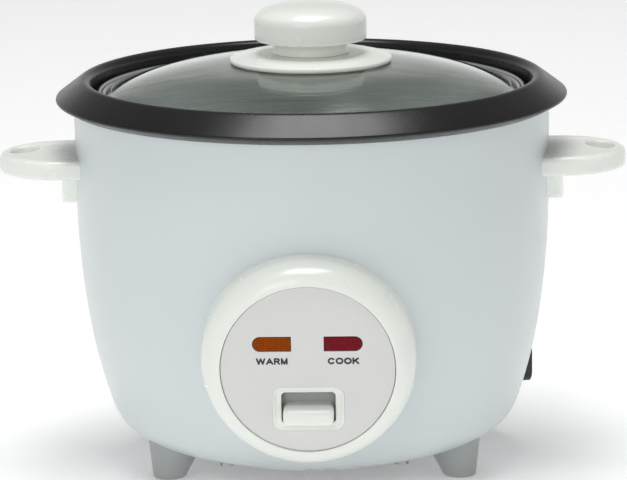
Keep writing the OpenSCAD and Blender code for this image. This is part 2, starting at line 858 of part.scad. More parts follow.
// The button's back plate hides the inside of the base behind the slot
module button_shutter() {
    side = 1.2;
    under = 6;
    above = 1.2;
    back = 2.8;
    t = 1.5;
    on_panel() translate([0, -slot_y + (above - under) / 2, 0])
        slab(slot_w + 2 * side, slot_h + above + under, 2, fascia_w - back - t, fascia_w - back);
}

module lever_button() {
    tail_y = pivot_y - 36;
    color([0.92, 0.93, 0.92]) union() {
        difference() {
            on_panel() translate([0, button_low + button_h / 2, 0]) union() {
                slab(button_w, button_h, 1.2, -2, face_h + button_out - 2.4);
                slab(button_w - 1.6, button_h - 1.6, 0.8, face_h, face_h + button_out - 0.8);
                slab(button_w - 4, button_h - 3.4, 0.4, face_h, face_h + button_out);
            }
            translate([-20, tail_y + 6, 0]) cube([40, 40, 100]);
        }
        button_shutter();
        translate([-6, tail_y - 4, pivot_z]) cube([12, 6, 12]);
    }
}

module lever_arm() {
    outer_y = pivot_y - 34;
    color([0.72, 0.73, 0.74]) difference() {
        union() {
            translate([-ear_x + 0.4, pivot_y, pivot_z]) rotate([0, 90, 0])
                cylinder(r = hub_r, h = 2 * ear_x - 0.8);
            translate([-arm_w / 2, outer_y, pivot_z]) cube([arm_w, pivot_y - outer_y, arm_t]);
            translate([-arm_w / 2, pivot_y, fork_z]) cube([arm_w, -pivot_y + 6, arm_t]);
            translate([-arm_w / 2, pivot_y - 2, fork_z]) cube([arm_w, 4, pivot_z - fork_z]);
        }
        translate([-20, pivot_y, pivot_z]) rotate([0, 90, 0]) cylinder(r = pin_r + pin_clear, h = 40);
        translate([-rod_r - 0.7, -rod_r - 0.7, fork_z - over]) cube([2 * rod_r + 1.4, 20, 4]);
    }
}

module microswitch() {
    z0 = fork_z + arm_t + 3.4;
    color([0.12, 0.12, 0.13]) difference() {
        translate([-3.2, switch_y, z0]) cube([6.4, 20, shield_z - bracket_t - z0]);
        translate([0, plunger_y, z0 - over]) cylinder(r = 1.3, h = over + 5.4);
    }
}

module switch_plunger() {
    color([0.8, 0.2, 0.15]) translate([0, plunger_y, fork_z + arm_t + fit]) cylinder(r = 1.25, h = 6);
}

module switch_terminals() {
    color([0.8, 0.65, 0.3]) for (y = [switch_y + 3, switch_y + 17]) translate([3.2, y - 0.4, 41])
        cube([6, 0.8, 4]);
}

// ---- Power inlet and wiring ----

inlet_body_w = 27;
inlet_body_h = 14;
inlet_depth = 16;
pin_pitch = 7;

module power_inlet() {
    color([0.08, 0.08, 0.08]) difference() {
        union() {
            difference() {
                on_inlet() slab(inlet_w, inlet_h, 6, -12, inlet_out);
                shell_solid();
            }
            on_inlet() slab(inlet_body_w, inlet_body_h, 3.9, -inlet_depth, 0);
        }
        on_inlet() slab(inlet_body_w - 3, inlet_body_h - 3, 3.2, -inlet_depth + 2, inlet_out + over);
        on_inlet() for (i = [-1:1]) translate([i * pin_pitch, 0, -inlet_depth - over]) cylinder(r = 2, h = 5);
    }
}

module inlet_pins() {
    color([0.78, 0.78, 0.76]) on_inlet() for (i = [-1:1])
        translate([i * pin_pitch, 0, -inlet_depth - 5]) cylinder(r = 2, h = inlet_depth);
}

// The wires stop just short of the tags that they are crimped to
crimp = 1.4;
inlet_tail_r = shell_r_at(inlet_z) - inlet_depth - 5 - crimp;
function inlet_tail(i) =
    inlet_tail_r * [cos(inlet_angle), sin(inlet_angle), 0]
    + i * pin_pitch * [-sin(inlet_angle), cos(inlet_angle), 0] + [0, 0, inlet_z];
function element_pin(s) =
    [element_ring_r * s * sin(element_end), element_ring_r * cos(element_end), shield_z - 8 - crimp];

module wires(routes, r, up) {
    for (p = routes) tube(route(p, 5), r, 8, up);
}

module supply_wires() {
    color([0.75, 0.2, 0.18]) wires([
        [element_pin(1), [26, 57, 32], [45, 52, 28], [62, 36, 32], inlet_tail(1)],
        [element_pin(-1), [-16, 44, 31], [6, 34, 27], [28, 28, 27], [52, 25, 31], inlet_tail(0)],
        [inlet_tail(-1), [60, 8, 30], [36, -26, 26], [22, -40, 32], [9.2 + crimp, plunger_y + 7, 43]]
    ], 1.1, [0, 0, 1]);
}

module lamp_wires() {
    top_y = panel_y - 6;
    color([0.85, 0.85, 0.8]) wires([
        for (s = [-1, 1]) [
            [s * 20, top_y, panel_z + 4],
            [s * 20, panel_y + 2, panel_z - 10],
            [s * 18, panel_y + 12, pivot_z + 7],
            [s * 22, pivot_y, pivot_z - 4],
            [s * 22, pivot_y + 24, pivot_z - 10]
        ]
    ], 0.9, [1, 0, 0]);
}

// ---- Pot ----

module inner_pot() {
    bead_mid = [rim_r - bead_r, rim_z + bead_h - bead_r];
    color([0.78, 0.78, 0.79]) rotate_extrude() polygon(concat(
        [[0, pot_z]],
        arc([pot_r - pot_corner, pot_z + pot_corner], pot_corner, -90, 0, 10),
        [[pot_r, rim_z], [rim_r, rim_z]],
        arc(bead_mid, bead_r, 0, 180, 8),
        [[rim_r - 2 * bead_r, rim_z + pot_wall], [pot_r - pot_wall, rim_z + pot_wall]],
        arc([pot_r - pot_corner, pot_z + pot_corner], pot_corner - pot_wall, 0, -90, 10),
        [[0, pot_z + pot_wall]]
    ));
}

// ---- Lid ----

function glass_under(r) = glass_z + glass_rise * (1 - pow(r / glass_r, glass_power));
function glass_top(r) = glass_under(r) + glass_t;
glass_steps = 14;

module lid_glass() {
    radii = [for (i = [0:glass_steps]) glass_r * i / glass_steps];
    color([0.6, 0.66, 0.64, 0.4]) difference() {
        rotate_extrude() polygon(concat(
            [for (r = radii) [r, glass_under(r)]],
            [for (r = reversed(radii)) [r, glass_top(r)]]
        ));
        translate([0, 0, glass_z]) cylinder(r = bolt_r + 0.5, h = 60);
        translate([0, steam_y, glass_z]) cylinder(r = steam_r + 1.5, h = 60);
    }
}

module lid_rim() {
    lip_r = glass_r - 3.4;
    lip_t = 0.5;
    color([0.8, 0.8, 0.8]) rotate_extrude() polygon([
        [glass_r - 2, lid_z],
        [lid_rim_r - 0.4, lid_z],
        [lid_rim_r, lid_z + 0.4],
        [lid_rim_r, glass_top(glass_r) + 1],
        [lid_rim_r - 0.3, glass_top(glass_r) + 1.3],
        [glass_r - 0.4, glass_top(glass_r) + lip_t + 0.3],
        [lip_r, glass_top(lip_r) + lip_t],
        [lip_r, glass_top(lip_r) + 0.05],
        [glass_r - 1.6, glass_top(glass_r - 1.6) + 0.05],
        [glass_r + 0.05, glass_top(glass_r) + 0.05],
        [glass_r + 0.05, glass_z - 0.05],
        [glass_r - 2, glass_z - 0.05]
    ]);
}

module knob_disc() {
    color([0.93, 0.94, 0.92]) rotate_extrude() polygon([
        [bolt_r + 0.2, glass_top(0) + 0.1],
        [10, glass_top(10) + 0.2],
        [20, glass_top(20) + 0.2],
        [28, glass_top(28) + 0.2],
        [disc_r - 0.8, disc_z + 0.1],
        [disc_r, disc_z + 0.8],
        [disc_r, disc_z + 1.5],
        [disc_r - 1.2, disc_z + 2.5],
        [disc_r - 4, disc_z + disc_t + 0.4],
        [neck_r + 1.4, disc_z + disc_t + 1.6],
        [bolt_r + 0.2, disc_z + disc_t + 1.6]
    ]);
}

module lid_knob() {
    neck_z = disc_z + disc_t + 1.6;
    crown = [[cap_r, cap_z + 8], [cap_r, cap_z + 13.4], [cap_r - 7, cap_z + cap_h - 0.6], [0, cap_z + cap_h]];
    color([0.93, 0.94, 0.92]) difference() {
        rotate_extrude() polygon(concat(
            [[0, neck_z], [neck_r, neck_z], [neck_r - 0.6, neck_z + 2], [neck_r, cap_z], [cap_r - 3, cap_z]],
            arc([cap_r - 1.4, cap_z + 2.4], 1.4, -90, 0, 4),
            curve(crown, 12)
        ));
        translate([0, 0, neck_z - over]) cylinder(r = bolt_r, h = 12);
    }
}

module knob_seal() {
    low = glass_under(0) - 5;
    color([0.75, 0.8, 0.75]) rotate_extrude() polygon([
        [bolt_r + 0.2, low],
        [seal_r - 1, low + 0.6],
        [seal_r, low + 1.6],
        [seal_r, glass_under(seal_r) - 0.05],
        [seal_r / 2, glass_under(seal_r / 2) - 0.05],
        [bolt_r + 0.2, glass_under(0) - 0.1]
    ]);
}

module knob_screw() {
    low = glass_under(0) - 5;
    color([0.75, 0.75, 0.76]) {
        translate([0, 0, low - 0.8]) cylinder(r = 10, h = 0.8);
        translate([0, 0, low - 2.8]) cylinder(r = 5.5, h = 2.4);
        translate([0, 0, low - 1]) cylinder(r = bolt_r, h = disc_z + disc_t + 11 - low);
    }
}

module steam_eyelet() {
    top = glass_top(steam_y - steam_r - 4) + 0.3;
    low = glass_under(steam_y + steam_r + 4) - 0.3;
    color([0.8, 0.8, 0.8]) translate([0, steam_y, 0]) difference() {
        union() {
            translate([0, 0, low - 0.8]) cylinder(r = steam_r + 3.4, h = 0.8);
            translate([0, 0, low - 0.4]) cylinder(r = steam_r + 1.3, h = top - low + 0.8);
            translate([0, 0, top]) cylinder(r = steam_r + 3.4, h = 0.8);
        }
        translate([0, 0, low - 5]) cylinder(r = steam_r, h = 40);
    }
}

outer_shell();
top_ring();
heat_shield();
bottom_cover();
support_posts();
post_screws();
foot_front_right();
foot_front_left();
foot_rear_left();
foot_rear_right();
foot_screws();
handle_right();
handle_left();
handle_screws();
control_bezel();
control_fascia();
warm_lens();
cook_lens();
lamp_holder();
warm_lamp();
cook_lamp();
panel_screws();
heater_plate();
heating_element();
heater_standoffs();
heater_screws();
warm_thermostat();
thermal_fuse();
sensor_cap();
sensor_ferrite();
sensor_spring();
sensor_housing();
magnet();
magnet_spring();
pull_rod();
pivot_bracket();
bracket_screws();
pivot_pin();
lever_button();
lever_arm();
microswitch();
switch_plunger();
switch_terminals();
power_inlet();
inlet_pins();
supply_wires();
lamp_wires();
inner_pot();
lid_glass();
lid_rim();
lid_knob();
knob_disc();
knob_seal();
knob_screw();
steam_eyelet();
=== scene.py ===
"""Builds the visible pieces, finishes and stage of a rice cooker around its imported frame."""

import json
import math

import bpy
from bpy.props import FloatProperty, FloatVectorProperty, IntProperty, PointerProperty
from mathutils import Matrix, Vector


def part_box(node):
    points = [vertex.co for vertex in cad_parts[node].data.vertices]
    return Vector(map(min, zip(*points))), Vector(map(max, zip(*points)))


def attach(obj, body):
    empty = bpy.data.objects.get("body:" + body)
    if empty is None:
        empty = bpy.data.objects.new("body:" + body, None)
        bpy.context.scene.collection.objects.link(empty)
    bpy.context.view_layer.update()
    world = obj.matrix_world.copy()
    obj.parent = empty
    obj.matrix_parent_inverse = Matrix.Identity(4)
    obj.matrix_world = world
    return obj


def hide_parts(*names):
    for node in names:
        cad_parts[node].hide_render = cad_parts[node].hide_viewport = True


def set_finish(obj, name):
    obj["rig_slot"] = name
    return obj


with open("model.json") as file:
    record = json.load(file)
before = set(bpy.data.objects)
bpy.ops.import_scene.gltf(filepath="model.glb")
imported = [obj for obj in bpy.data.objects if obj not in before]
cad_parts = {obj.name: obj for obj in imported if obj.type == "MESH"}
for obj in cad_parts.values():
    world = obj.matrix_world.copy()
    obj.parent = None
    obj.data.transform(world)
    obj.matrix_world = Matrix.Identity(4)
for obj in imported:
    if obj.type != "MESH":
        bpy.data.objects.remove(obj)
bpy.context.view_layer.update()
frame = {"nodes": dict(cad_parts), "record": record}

bl_info = {
    "name": "Rice Cooker Builder",
    "version": (1, 0, 0),
    "blender": (4, 5, 0),
    "location": "3D View > Sidebar > Cooker",
    "description": "Builds the pieces, finishes and stage of a lever rice cooker around its frame",
    "category": "Object",
}

# Everything below is in millimetres until it reaches a mesh.
MM = 0.001
# Two places on a piece that are nearer than this count as one place
NEAR = 0.5 * MM
SLOT_OF = {part["node"]: part["material_slot"] for part in frame["record"]["subparts"]}


def corners(node):
    """The lowest and highest corner of a CAD node, in millimetres."""
    low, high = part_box(node)
    return low / MM, high / MM


SHELL_LOW, SHELL_HIGH = corners("outer_shell")
RING_HIGH = corners("top_ring")[1]
POT_LOW, POT_HIGH = corners("inner_pot")
GLASS_LOW, GLASS_HIGH = corners("lid_glass")
RIM_LOW, RIM_HIGH = corners("lid_rim")
KNOB_LOW, KNOB_HIGH = corners("lid_knob")
DISC_LOW, DISC_HIGH = corners("knob_disc")
SEAL_LOW, SEAL_HIGH = corners("knob_seal")
HANDLE_HIGH = corners("handle_right")[1]
BUTTON_HIGH = corners("lever_button")[1]
EYELET_LOW, EYELET_HIGH = corners("steam_eyelet")
FACE_LOW, FACE_HIGH = corners("control_fascia")
INLET_LOW, INLET_HIGH = corners("power_inlet")

# The panel's own axes: Z out of the face and Y up it
PANEL_TILT = 8
FACE_MIDDLE = 10.6
FACE_BACK = 9.5
FACE_TOP = 11.7
# From behind the face to in front of it, for what is cut right through
THROUGH = (8, 14)
PANEL = (
    Matrix.Translation((FACE_LOW + FACE_HIGH) * 0.5 * MM)
    @ Matrix.Rotation(math.radians(90 + PANEL_TILT), 4, "X")
    @ Matrix.Translation((0, 0, -FACE_MIDDLE * MM))
)

# Places and sizes on the panel
LENS_X = 15.5
LENS_Y = 11.9
LENS_WIDTH = 16.9
LENS_HEIGHT = 6.9
# From one of a lens's small prisms to the next
LENS_PITCH = 0.8
WORD_Y = 4.0
SLOT_Y = -18
SLOT_SIZE = (23.6, 14.4, 1.8)
SURROUND_Y = -18.2
SURROUND_SIZE = (31.4, 20.2, 4.4)

# How far the ring's opening lies inside the shell's edge
OPENING_IN = 8.1
# Radius of the screw hole through the knob, its disc and the gasket
BOLT_R = 3.3


class CookerSizes(bpy.types.PropertyGroup):
    """Sizes of the visible pieces that a user would change, in millimetres."""

    shell_sheet: FloatProperty(
        name="Shell sheet", description="Thickness of the painted shell",
        default=1.0, min=0.5, max=2
    )
    waist_height: FloatProperty(
        name="Waist height", description="Height at which the side starts to draw in",
        default=128, min=110, max=135
    )
    belly: FloatProperty(
        name="Belly", description="How far the side draws in above the bottom corner",
        default=14.8, min=10, max=18
    )
    corner_height: FloatProperty(
        name="Corner height", description="Height at which the bottom corner starts",
        default=28.8, min=25, max=33
    )
    base_radius: FloatProperty(
        name="Base radius", description="Radius of the flat underside", default=60.8, min=58, max=63
    )
    service_radius: FloatProperty(
        name="Service hole", description="Radius of the hole in the underside", default=52, min=46, max=52
    )
    crest_round: FloatProperty(
        name="Crest radius", description="Radius of the ring's rounded crest", default=3.6, min=2, max=4
    )
    lip_round: FloatProperty(
        name="Lip radius", description="Radius of the ring's outer lip", default=0.9, min=0.4, max=1.4
    )
    bezel_radius: FloatProperty(
        name="Bezel radius", description="Outer radius of the control panel's bezel",
        default=47, min=45, max=49
    )
    face_radius: FloatProperty(
        name="Face radius", description="Radius of the face inside the bezel", default=38.2, min=37, max=39
    )
    glass_thickness: FloatProperty(
        name="Glass thickness", description="Thickness of the lid's glass", default=2.8, min=2.4, max=3.4
    )
    handle_softness: FloatProperty(
        name="Handle rounding", description="Voxel size that sets how soft the handles' edges are",
        default=0.8, min=0.5, max=1.5,
    )
    turns: IntProperty(
        name="Steps per turn", description="Segments in each turned piece", default=192, min=64, max=256
    )


def colour_property(name, description, default):
    """A colour that can be changed in the sidebar."""
    return FloatVectorProperty(
        name=name, description=description, default=default, subtype="COLOR", size=3, min=0, max=1
    )


class CookerColours(bpy.types.PropertyGroup):
    """Colours of the visible finishes, as linear values."""

    paint: colour_property("Paint", "Colour of the painted shell", (0.66, 0.71, 0.73))
    ring: colour_property("Ring", "Colour of the black ring", (0.008, 0.008, 0.008))
    plastic: colour_property("White plastic", "Colour of the handles, knob and bezel", (0.84, 0.865, 0.815))
    face: colour_property("Face", "Colour of the panel's face", (0.71, 0.71, 0.70))
    feet: colour_property("Feet", "Colour of the feet", (0.38, 0.395, 0.395))
    amber: colour_property("Amber lens", "Colour of the warm lamp's lens", (0.38, 0.075, 0.003))
    red: colour_property("Red lens", "Colour of the cook lamp's lens", (0.27, 0.014, 0.026))
    glass: colour_property("Glass", "Tint of the lid's glass", (0.86, 0.92, 0.88))
    lettering: colour_property("Lettering", "Colour of the words under the lamps", (0.02, 0.02, 0.025))


def sizes():
    """The sizes now set in the sidebar."""
    return bpy.context.scene.cooker_sizes


def colours():
    """The colours now set in the sidebar."""
    return bpy.context.scene.cooker_colours


# ---- Modelling helpers ----


def leave_selection():
    """Nothing selected, in object mode."""
    if bpy.context.object and bpy.context.object.mode != "OBJECT":
        bpy.ops.object.mode_set(mode="OBJECT")
    bpy.ops.object.select_all(action="DESELECT")


def pick(*objects):
    """Only these objects selected, the first one active."""
    leave_selection()
    for obj in objects:
        obj.select_set(True)
    bpy.context.view_layer.objects.active = objects[0]


def edit(obj):
    """Edit mode on one object, with everything in it selected."""
    pick(obj)
    bpy.ops.object.mode_set(mode="EDIT")
    bpy.ops.mesh.select_mode(type="VERT")
    bpy.ops.mesh.select_all(action="SELECT")


def done():
    """Back to object mode, with the object that was edited."""
    bpy.ops.object.mode_set(mode="OBJECT")
    return bpy.context.object


def named(name):
    """Names the object just added and its mesh."""
    obj = bpy.context.object
    obj.name = name
    obj.data.name = name
    return obj


def settle(obj, matrix=None):
    """Puts an object's place into its mesh, after an optional move."""
    if matrix is not None:
        obj.matrix_world = matrix @ obj.matrix_world
    bpy.context.view_layer.update()
    pick(obj)
    bpy.ops.object.transform_apply(location=True, rotation=True, scale=True)
    return obj


def apply_modifier(obj, kind, **settings):
    """Adds a modifier and applies it."""
    pick(obj)
    modifier = obj.modifiers.new(kind.lower(), kind)
    for key, value in settings.items():
        setattr(modifier, key, value)
    bpy.ops.object.modifier_apply(modifier=modifier.name)
    return obj


def choose(obj, kind, wanted):
    """Edit mode with only the faces or edges selected for which a test holds."""
    edit(obj)
    bpy.ops.mesh.select_mode(type=kind)
    bpy.ops.mesh.select_all(action="DESELECT")
    done()
    for item in obj.data.polygons if kind == "FACE" else obj.data.edges:
        item.select = wanted(item)
    bpy.ops.object.mode_set(mode="EDIT")


def edge_ends(obj, edge):
    """The two ends of an edge."""
    return [obj.data.vertices[i].co for i in edge.vertices]


def combine(obj, tool, operation="DIFFERENCE", keep_tool=False):
    """Cuts, joins or keeps what is common with another closed piece."""
    apply_modifier(obj, "BOOLEAN", object=tool, operation=operation, solver="EXACT")
    if not keep_tool:
        bpy.data.objects.remove(tool)
    if len(obj.data.polygons) == 0:
        raise RuntimeError(f"{obj.name} was lost in a {operation.lower()}")
    return obj


def soften(obj, width, segments=3, angle=30):
    """Rounds every edge sharper than an angle."""
    return apply_modifier(
        obj, "BEVEL", width=width * MM, segments=segments, limit_method="ANGLE",
        angle_limit=math.radians(angle), harden_normals=False,
    )


def trace(name, points):
    """A chain of edges through (radius, height) points in the XZ plane."""
    leave_selection()
    bpy.ops.mesh.primitive_plane_add(size=MM)
    obj = named(name)
    bpy.ops.object.mode_set(mode="EDIT")
    bpy.ops.mesh.select_mode(type="VERT")
    bpy.ops.mesh.merge(type="CENTER")
    bpy.ops.transform.translate(value=(points[0][0] * MM, 0, points[0][1] * MM))
    for (r0, z0), (r1, z1) in zip(points, points[1:]):
        bpy.ops.mesh.extrude_vertices_move(
            TRANSFORM_OT_translate={"value": ((r1 - r0) * MM, 0, (z1 - z0) * MM)}
        )
    return obj


def turn(name, points, angle=360, closed=True):
    """A piece turned on a lathe from its profile, given as (radius, height) points."""
    path = points + points[:1] if closed else points
    obj = trace(name, path)
    bpy.ops.mesh.select_all(action="SELECT")
    steps = max(8, round(sizes().turns * angle / 360))
    bpy.ops.mesh.spin(steps=steps, angle=math.radians(angle), center=(0, 0, 0), axis=(0, 0, 1))
    bpy.ops.mesh.select_all(action="SELECT")
    bpy.ops.mesh.remove_doubles(threshold=0.002 * MM)
    bpy.ops.mesh.dissolve_degenerate(threshold=0.001 * MM)
    bpy.ops.mesh.normals_make_consistent(inside=False)
    return done()


def block(name, size, centre, round_by=0, segments=4):
    """A cuboid with every edge rounded."""
    leave_selection()
    bpy.ops.mesh.primitive_cube_add(size=MM, location=Vector(centre) * MM)
    obj = named(name)
    obj.scale = size
    settle(obj)
    if round_by:
        soften(obj, round_by, segments)
    return obj


def slab(name, width, height, corner, low, high):
    """A plate with round corners that stands from one height to another."""
    leave_selection()
    bpy.ops.mesh.primitive_cube_add(size=MM, location=(0, 0, (low + high) / 2 * MM))
    obj = named(name)
    obj.scale = (width, height, high - low)
    settle(obj)

    def upright(edge):
        a, b = edge_ends(obj, edge)
        return abs(a.z - b.z) > abs(a.x - b.x) + abs(a.y - b.y)

    choose(obj, "EDGE", upright)
    bpy.ops.mesh.bevel(offset=corner * MM, segments=10, affect="EDGES")
    return done()


def round_bar(name, radius, low, high, sides=96):
    """A straight round bar along Z."""
    leave_selection()
    bpy.ops.mesh.primitive_cylinder_add(
        vertices=sides, radius=radius * MM, depth=(high - low) * MM, location=(0, 0, (low + high) / 2 * MM)
    )
    return settle(named(name))


def arc(centre, radius, start, end, steps):
    """Points on an arc, angles in degrees."""
    angles = [math.radians(start + (end - start) * i / steps) for i in range(steps + 1)]
    return [(centre[0] + radius * math.cos(a), centre[1] + radius * math.sin(a)) for a in angles]


def curve(ends, steps, offset=0):
    """Points on a cubic curve, moved by an offset to the right of its course."""
    p = [Vector(end) for end in ends]
    points = []
    for i in range(steps + 1):
        t = i / steps
        u = 1 - t
        place = u**3 * p[0] + 3 * u * u * t * p[1] + 3 * u * t * t * p[2] + t**3 * p[3]
        course = u * u * (p[1] - p[0]) + 2 * u * t * (p[2] - p[1]) + t * t * (p[3] - p[2])
        course.normalize()
        points.append((place.x + offset * course.y, place.y - offset * course.x))
    return points


def finish(obj, body, slot, nodes=(), smooth=35):
    """Shades a piece, gives it its finish and ties it to its body."""
    pick(obj)
    bpy.ops.object.shade_smooth_by_angle(angle=math.radians(smooth))
    obj.data.materials.clear()
    obj.data.materials.append(material(slot))
    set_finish(obj, slot)
    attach(obj, body)
    if nodes:
        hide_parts(*nodes)
    return obj


def copy_of(obj, name, matrix):
    """A second piece like the first, with its own mesh, moved by a matrix."""
    twin = obj.copy()
    twin.data = obj.data.copy()
    twin.name = twin.data.name = name
    bpy.context.scene.collection.objects.link(twin)
    twin.data.transform(matrix)
    if matrix.determinant() < 0:
        twin.data.flip_normals()
    return twin


# ---- Finishes ----


def two_tone(nodes, places, colours):
    """A ramp node between two colours."""
    ramp = nodes.new("ShaderNodeValToRGB")
    for element, place, colour in zip(ramp.color_ramp.elements, places, colours):
        element.position = place
        element.color = (*colour, 1)
    return ramp


def map_range(nodes, source, target):
    """A node that maps one range of values to another."""
    node = nodes.new("ShaderNodeMapRange")
    for socket, value in zip(("From Min", "From Max", "To Min", "To Max"), (*source, *target)):
        node.inputs[socket].default_value = value
    return node


class Finish:
    """A node material that is built up one effect at a time on Object coordinates."""

    def __init__(self, name, **sockets):
        self.material = bpy.data.materials.new(name)
        self.material.use_nodes = True
        self.nodes = self.material.node_tree.nodes
        self.links = self.material.node_tree.links
        self.shader = self.nodes["Principled BSDF"]
        for socket, value in sockets.items():
            self.shader.inputs[socket.replace("_", " ")].default_value = value
        self.coordinates = self.nodes.new("ShaderNodeTexCoord").outputs["Object"]
        self.relief = None

    def stretched(self, scale):
        """Coordinates scaled along each axis."""
        mapping = self.nodes.new("ShaderNodeMapping")
        mapping.inputs["Scale"].default_value = scale
        self.links.new(self.coordinates, mapping.inputs["Vector"])
        return mapping.outputs["Vector"]

    def turned(self):
        """Coordinates of distance from the Z axis and height, for marks left by a lathe."""
        parts = self.nodes.new("ShaderNodeSeparateXYZ")
        self.links.new(self.coordinates, parts.inputs[0])
        flat = self.nodes.new("ShaderNodeCombineXYZ")
        self.links.new(parts.outputs["X"], flat.inputs["X"])
        self.links.new(parts.outputs["Y"], flat.inputs["Y"])
        length = self.nodes.new("ShaderNodeVectorMath")
        length.operation = "LENGTH"
        self.links.new(flat.outputs[0], length.inputs[0])
        joined = self.nodes.new("ShaderNodeCombineXYZ")
        self.links.new(length.outputs["Value"], joined.inputs["X"])
        self.links.new(parts.outputs["Z"], joined.inputs["Z"])
        return joined.outputs[0]

    def noise(self, scale, detail=3, vector=None):
        """A smooth noise value, the same in all directions unless its coordinates are scaled."""
        noise = self.nodes.new("ShaderNodeTexNoise")
        noise.inputs["Scale"].default_value = scale
        noise.inputs["Detail"].default_value = detail
        self.links.new(vector or self.coordinates, noise.inputs["Vector"])
        return noise.outputs["Fac"]

    def cells(self, scale, vector=None, disorder=1):
        """A value that rises towards the edges of small cells, which stand in rows at no disorder."""
        cells = self.nodes.new("ShaderNodeTexVoronoi")
        cells.inputs["Scale"].default_value = scale
        cells.inputs["Randomness"].default_value = disorder
        self.links.new(vector or self.coordinates, cells.inputs["Vector"])
        return cells.outputs["Distance"]

    def colour(self, value, first, second, low=0.3, high=0.7):
        """Base colour that runs between two tones as a value rises."""
        ramp = two_tone(self.nodes, (low, high), (first, second))
        self.links.new(value, ramp.inputs["Fac"])
        self.links.new(ramp.outputs["Color"], self.shader.inputs["Base Color"])
        return self

    def roughness(self, value, low, high):
        """Roughness that follows a value."""
        spread = map_range(self.nodes, (0.3, 0.7), (low, high))
        self.links.new(value, spread.inputs["Value"])
        self.links.new(spread.outputs["Result"], self.shader.inputs["Roughness"])
        return self

    def bump(self, value, depth, strength=0.5):
        """Relief of a depth in millimetres, added over the relief before it."""
        bump = self.nodes.new("ShaderNodeBump")
        bump.inputs["Strength"].default_value = strength
        bump.inputs["Distance"].default_value = depth * MM
        self.links.new(value, bump.inputs["Height"])
        if self.relief:
            self.links.new(self.relief, bump.inputs["Normal"])
        self.relief = bump.outputs["Normal"]
        self.links.new(self.relief, self.shader.inputs["Normal"])
        return self


def shade(colour, factor):
    """A colour made darker or lighter."""
    return tuple(min(1, channel * factor) for channel in colour)


def paint_finish(name, colour):
    """Stoved enamel on steel: a clear gloss over a faint orange peel and very soft mottling."""
    finish_ = Finish(name, Coat_Weight=0.35, Coat_Roughness=0.12)
    finish_.colour(finish_.noise(14), shade(colour, 0.985), shade(colour, 1.01))
    finish_.roughness(finish_.noise(60), 0.34, 0.42)
    finish_.bump(finish_.noise(420, 2), 0.03, 0.35)
    return finish_.bump(finish_.noise(2600, 2), 0.004, 0.3)


def moulded_finish(name, colour, low, high, grain=1500, depth=0.012, **sockets):
    """Moulded plastic: flow mottling, uneven gloss and a fine mould grain."""
    finish_ = Finish(name, **sockets)
    finish_.colour(finish_.noise(35), shade(colour, 0.98), shade(colour, 1.01), 0.2, 0.8)
    finish_.roughness(finish_.noise(90), low, high)
    return finish_.bump(finish_.noise(grain, 3), depth, 0.4)


def metal_finish(name, colour, low, high, vector=None, scale=900, depth=0.01, spots=0):
    """Bare metal: streaks or spangle in its tone, roughness and relief."""
    finish_ = Finish(name, Metallic=1.0)
    course = vector(finish_) if vector else finish_.coordinates
    marks = finish_.cells(spots) if spots else finish_.noise(scale, 4, course)
    finish_.colour(marks, shade(colour, 0.86), shade(colour, 1.06))
    finish_.roughness(finish_.noise(scale * 0.6, 3, course), low, high)
    return finish_.bump(finish_.noise(scale * 1.4, 3, course), depth, 0.5)


def lens_finish(name, colour):
    """Tinted clear plastic, with a painted highlight at the middle of each small prism and painted shade
    towards its edges.
    """
    finish_ = Finish(name, Transmission_Weight=0.1, IOR=1.49, Specular_IOR_Level=0.15)
    prisms = finish_.cells(1 / (LENS_PITCH * MM), finish_.stretched((1, 0, 1)), 0)
    # Painted light and shade: each prism's middle is painted lighter and its edges darker, standing in for
    # the light on its facets
    finish_.colour(prisms, shade(colour, 1.4), shade(colour, 0.45), 0.15, 0.65)
    finish_.roughness(finish_.noise(500), 0.16, 0.28)
    return finish_.bump(finish_.noise(2500), 0.01, 0.3)


def glass_finish(name, colour):
    """Tempered glass with a faint green tint and wiping marks."""
    finish_ = Finish(name, Transmission_Weight=1.0, IOR=1.5, Specular_IOR_Level=0.5)
    finish_.colour(finish_.noise(18), shade(colour, 0.97), shade(colour, 1.0))
    finish_.roughness(finish_.noise(70, 4), 0.0, 0.035)
    return finish_.bump(finish_.noise(25, 2), 0.03, 0.15)


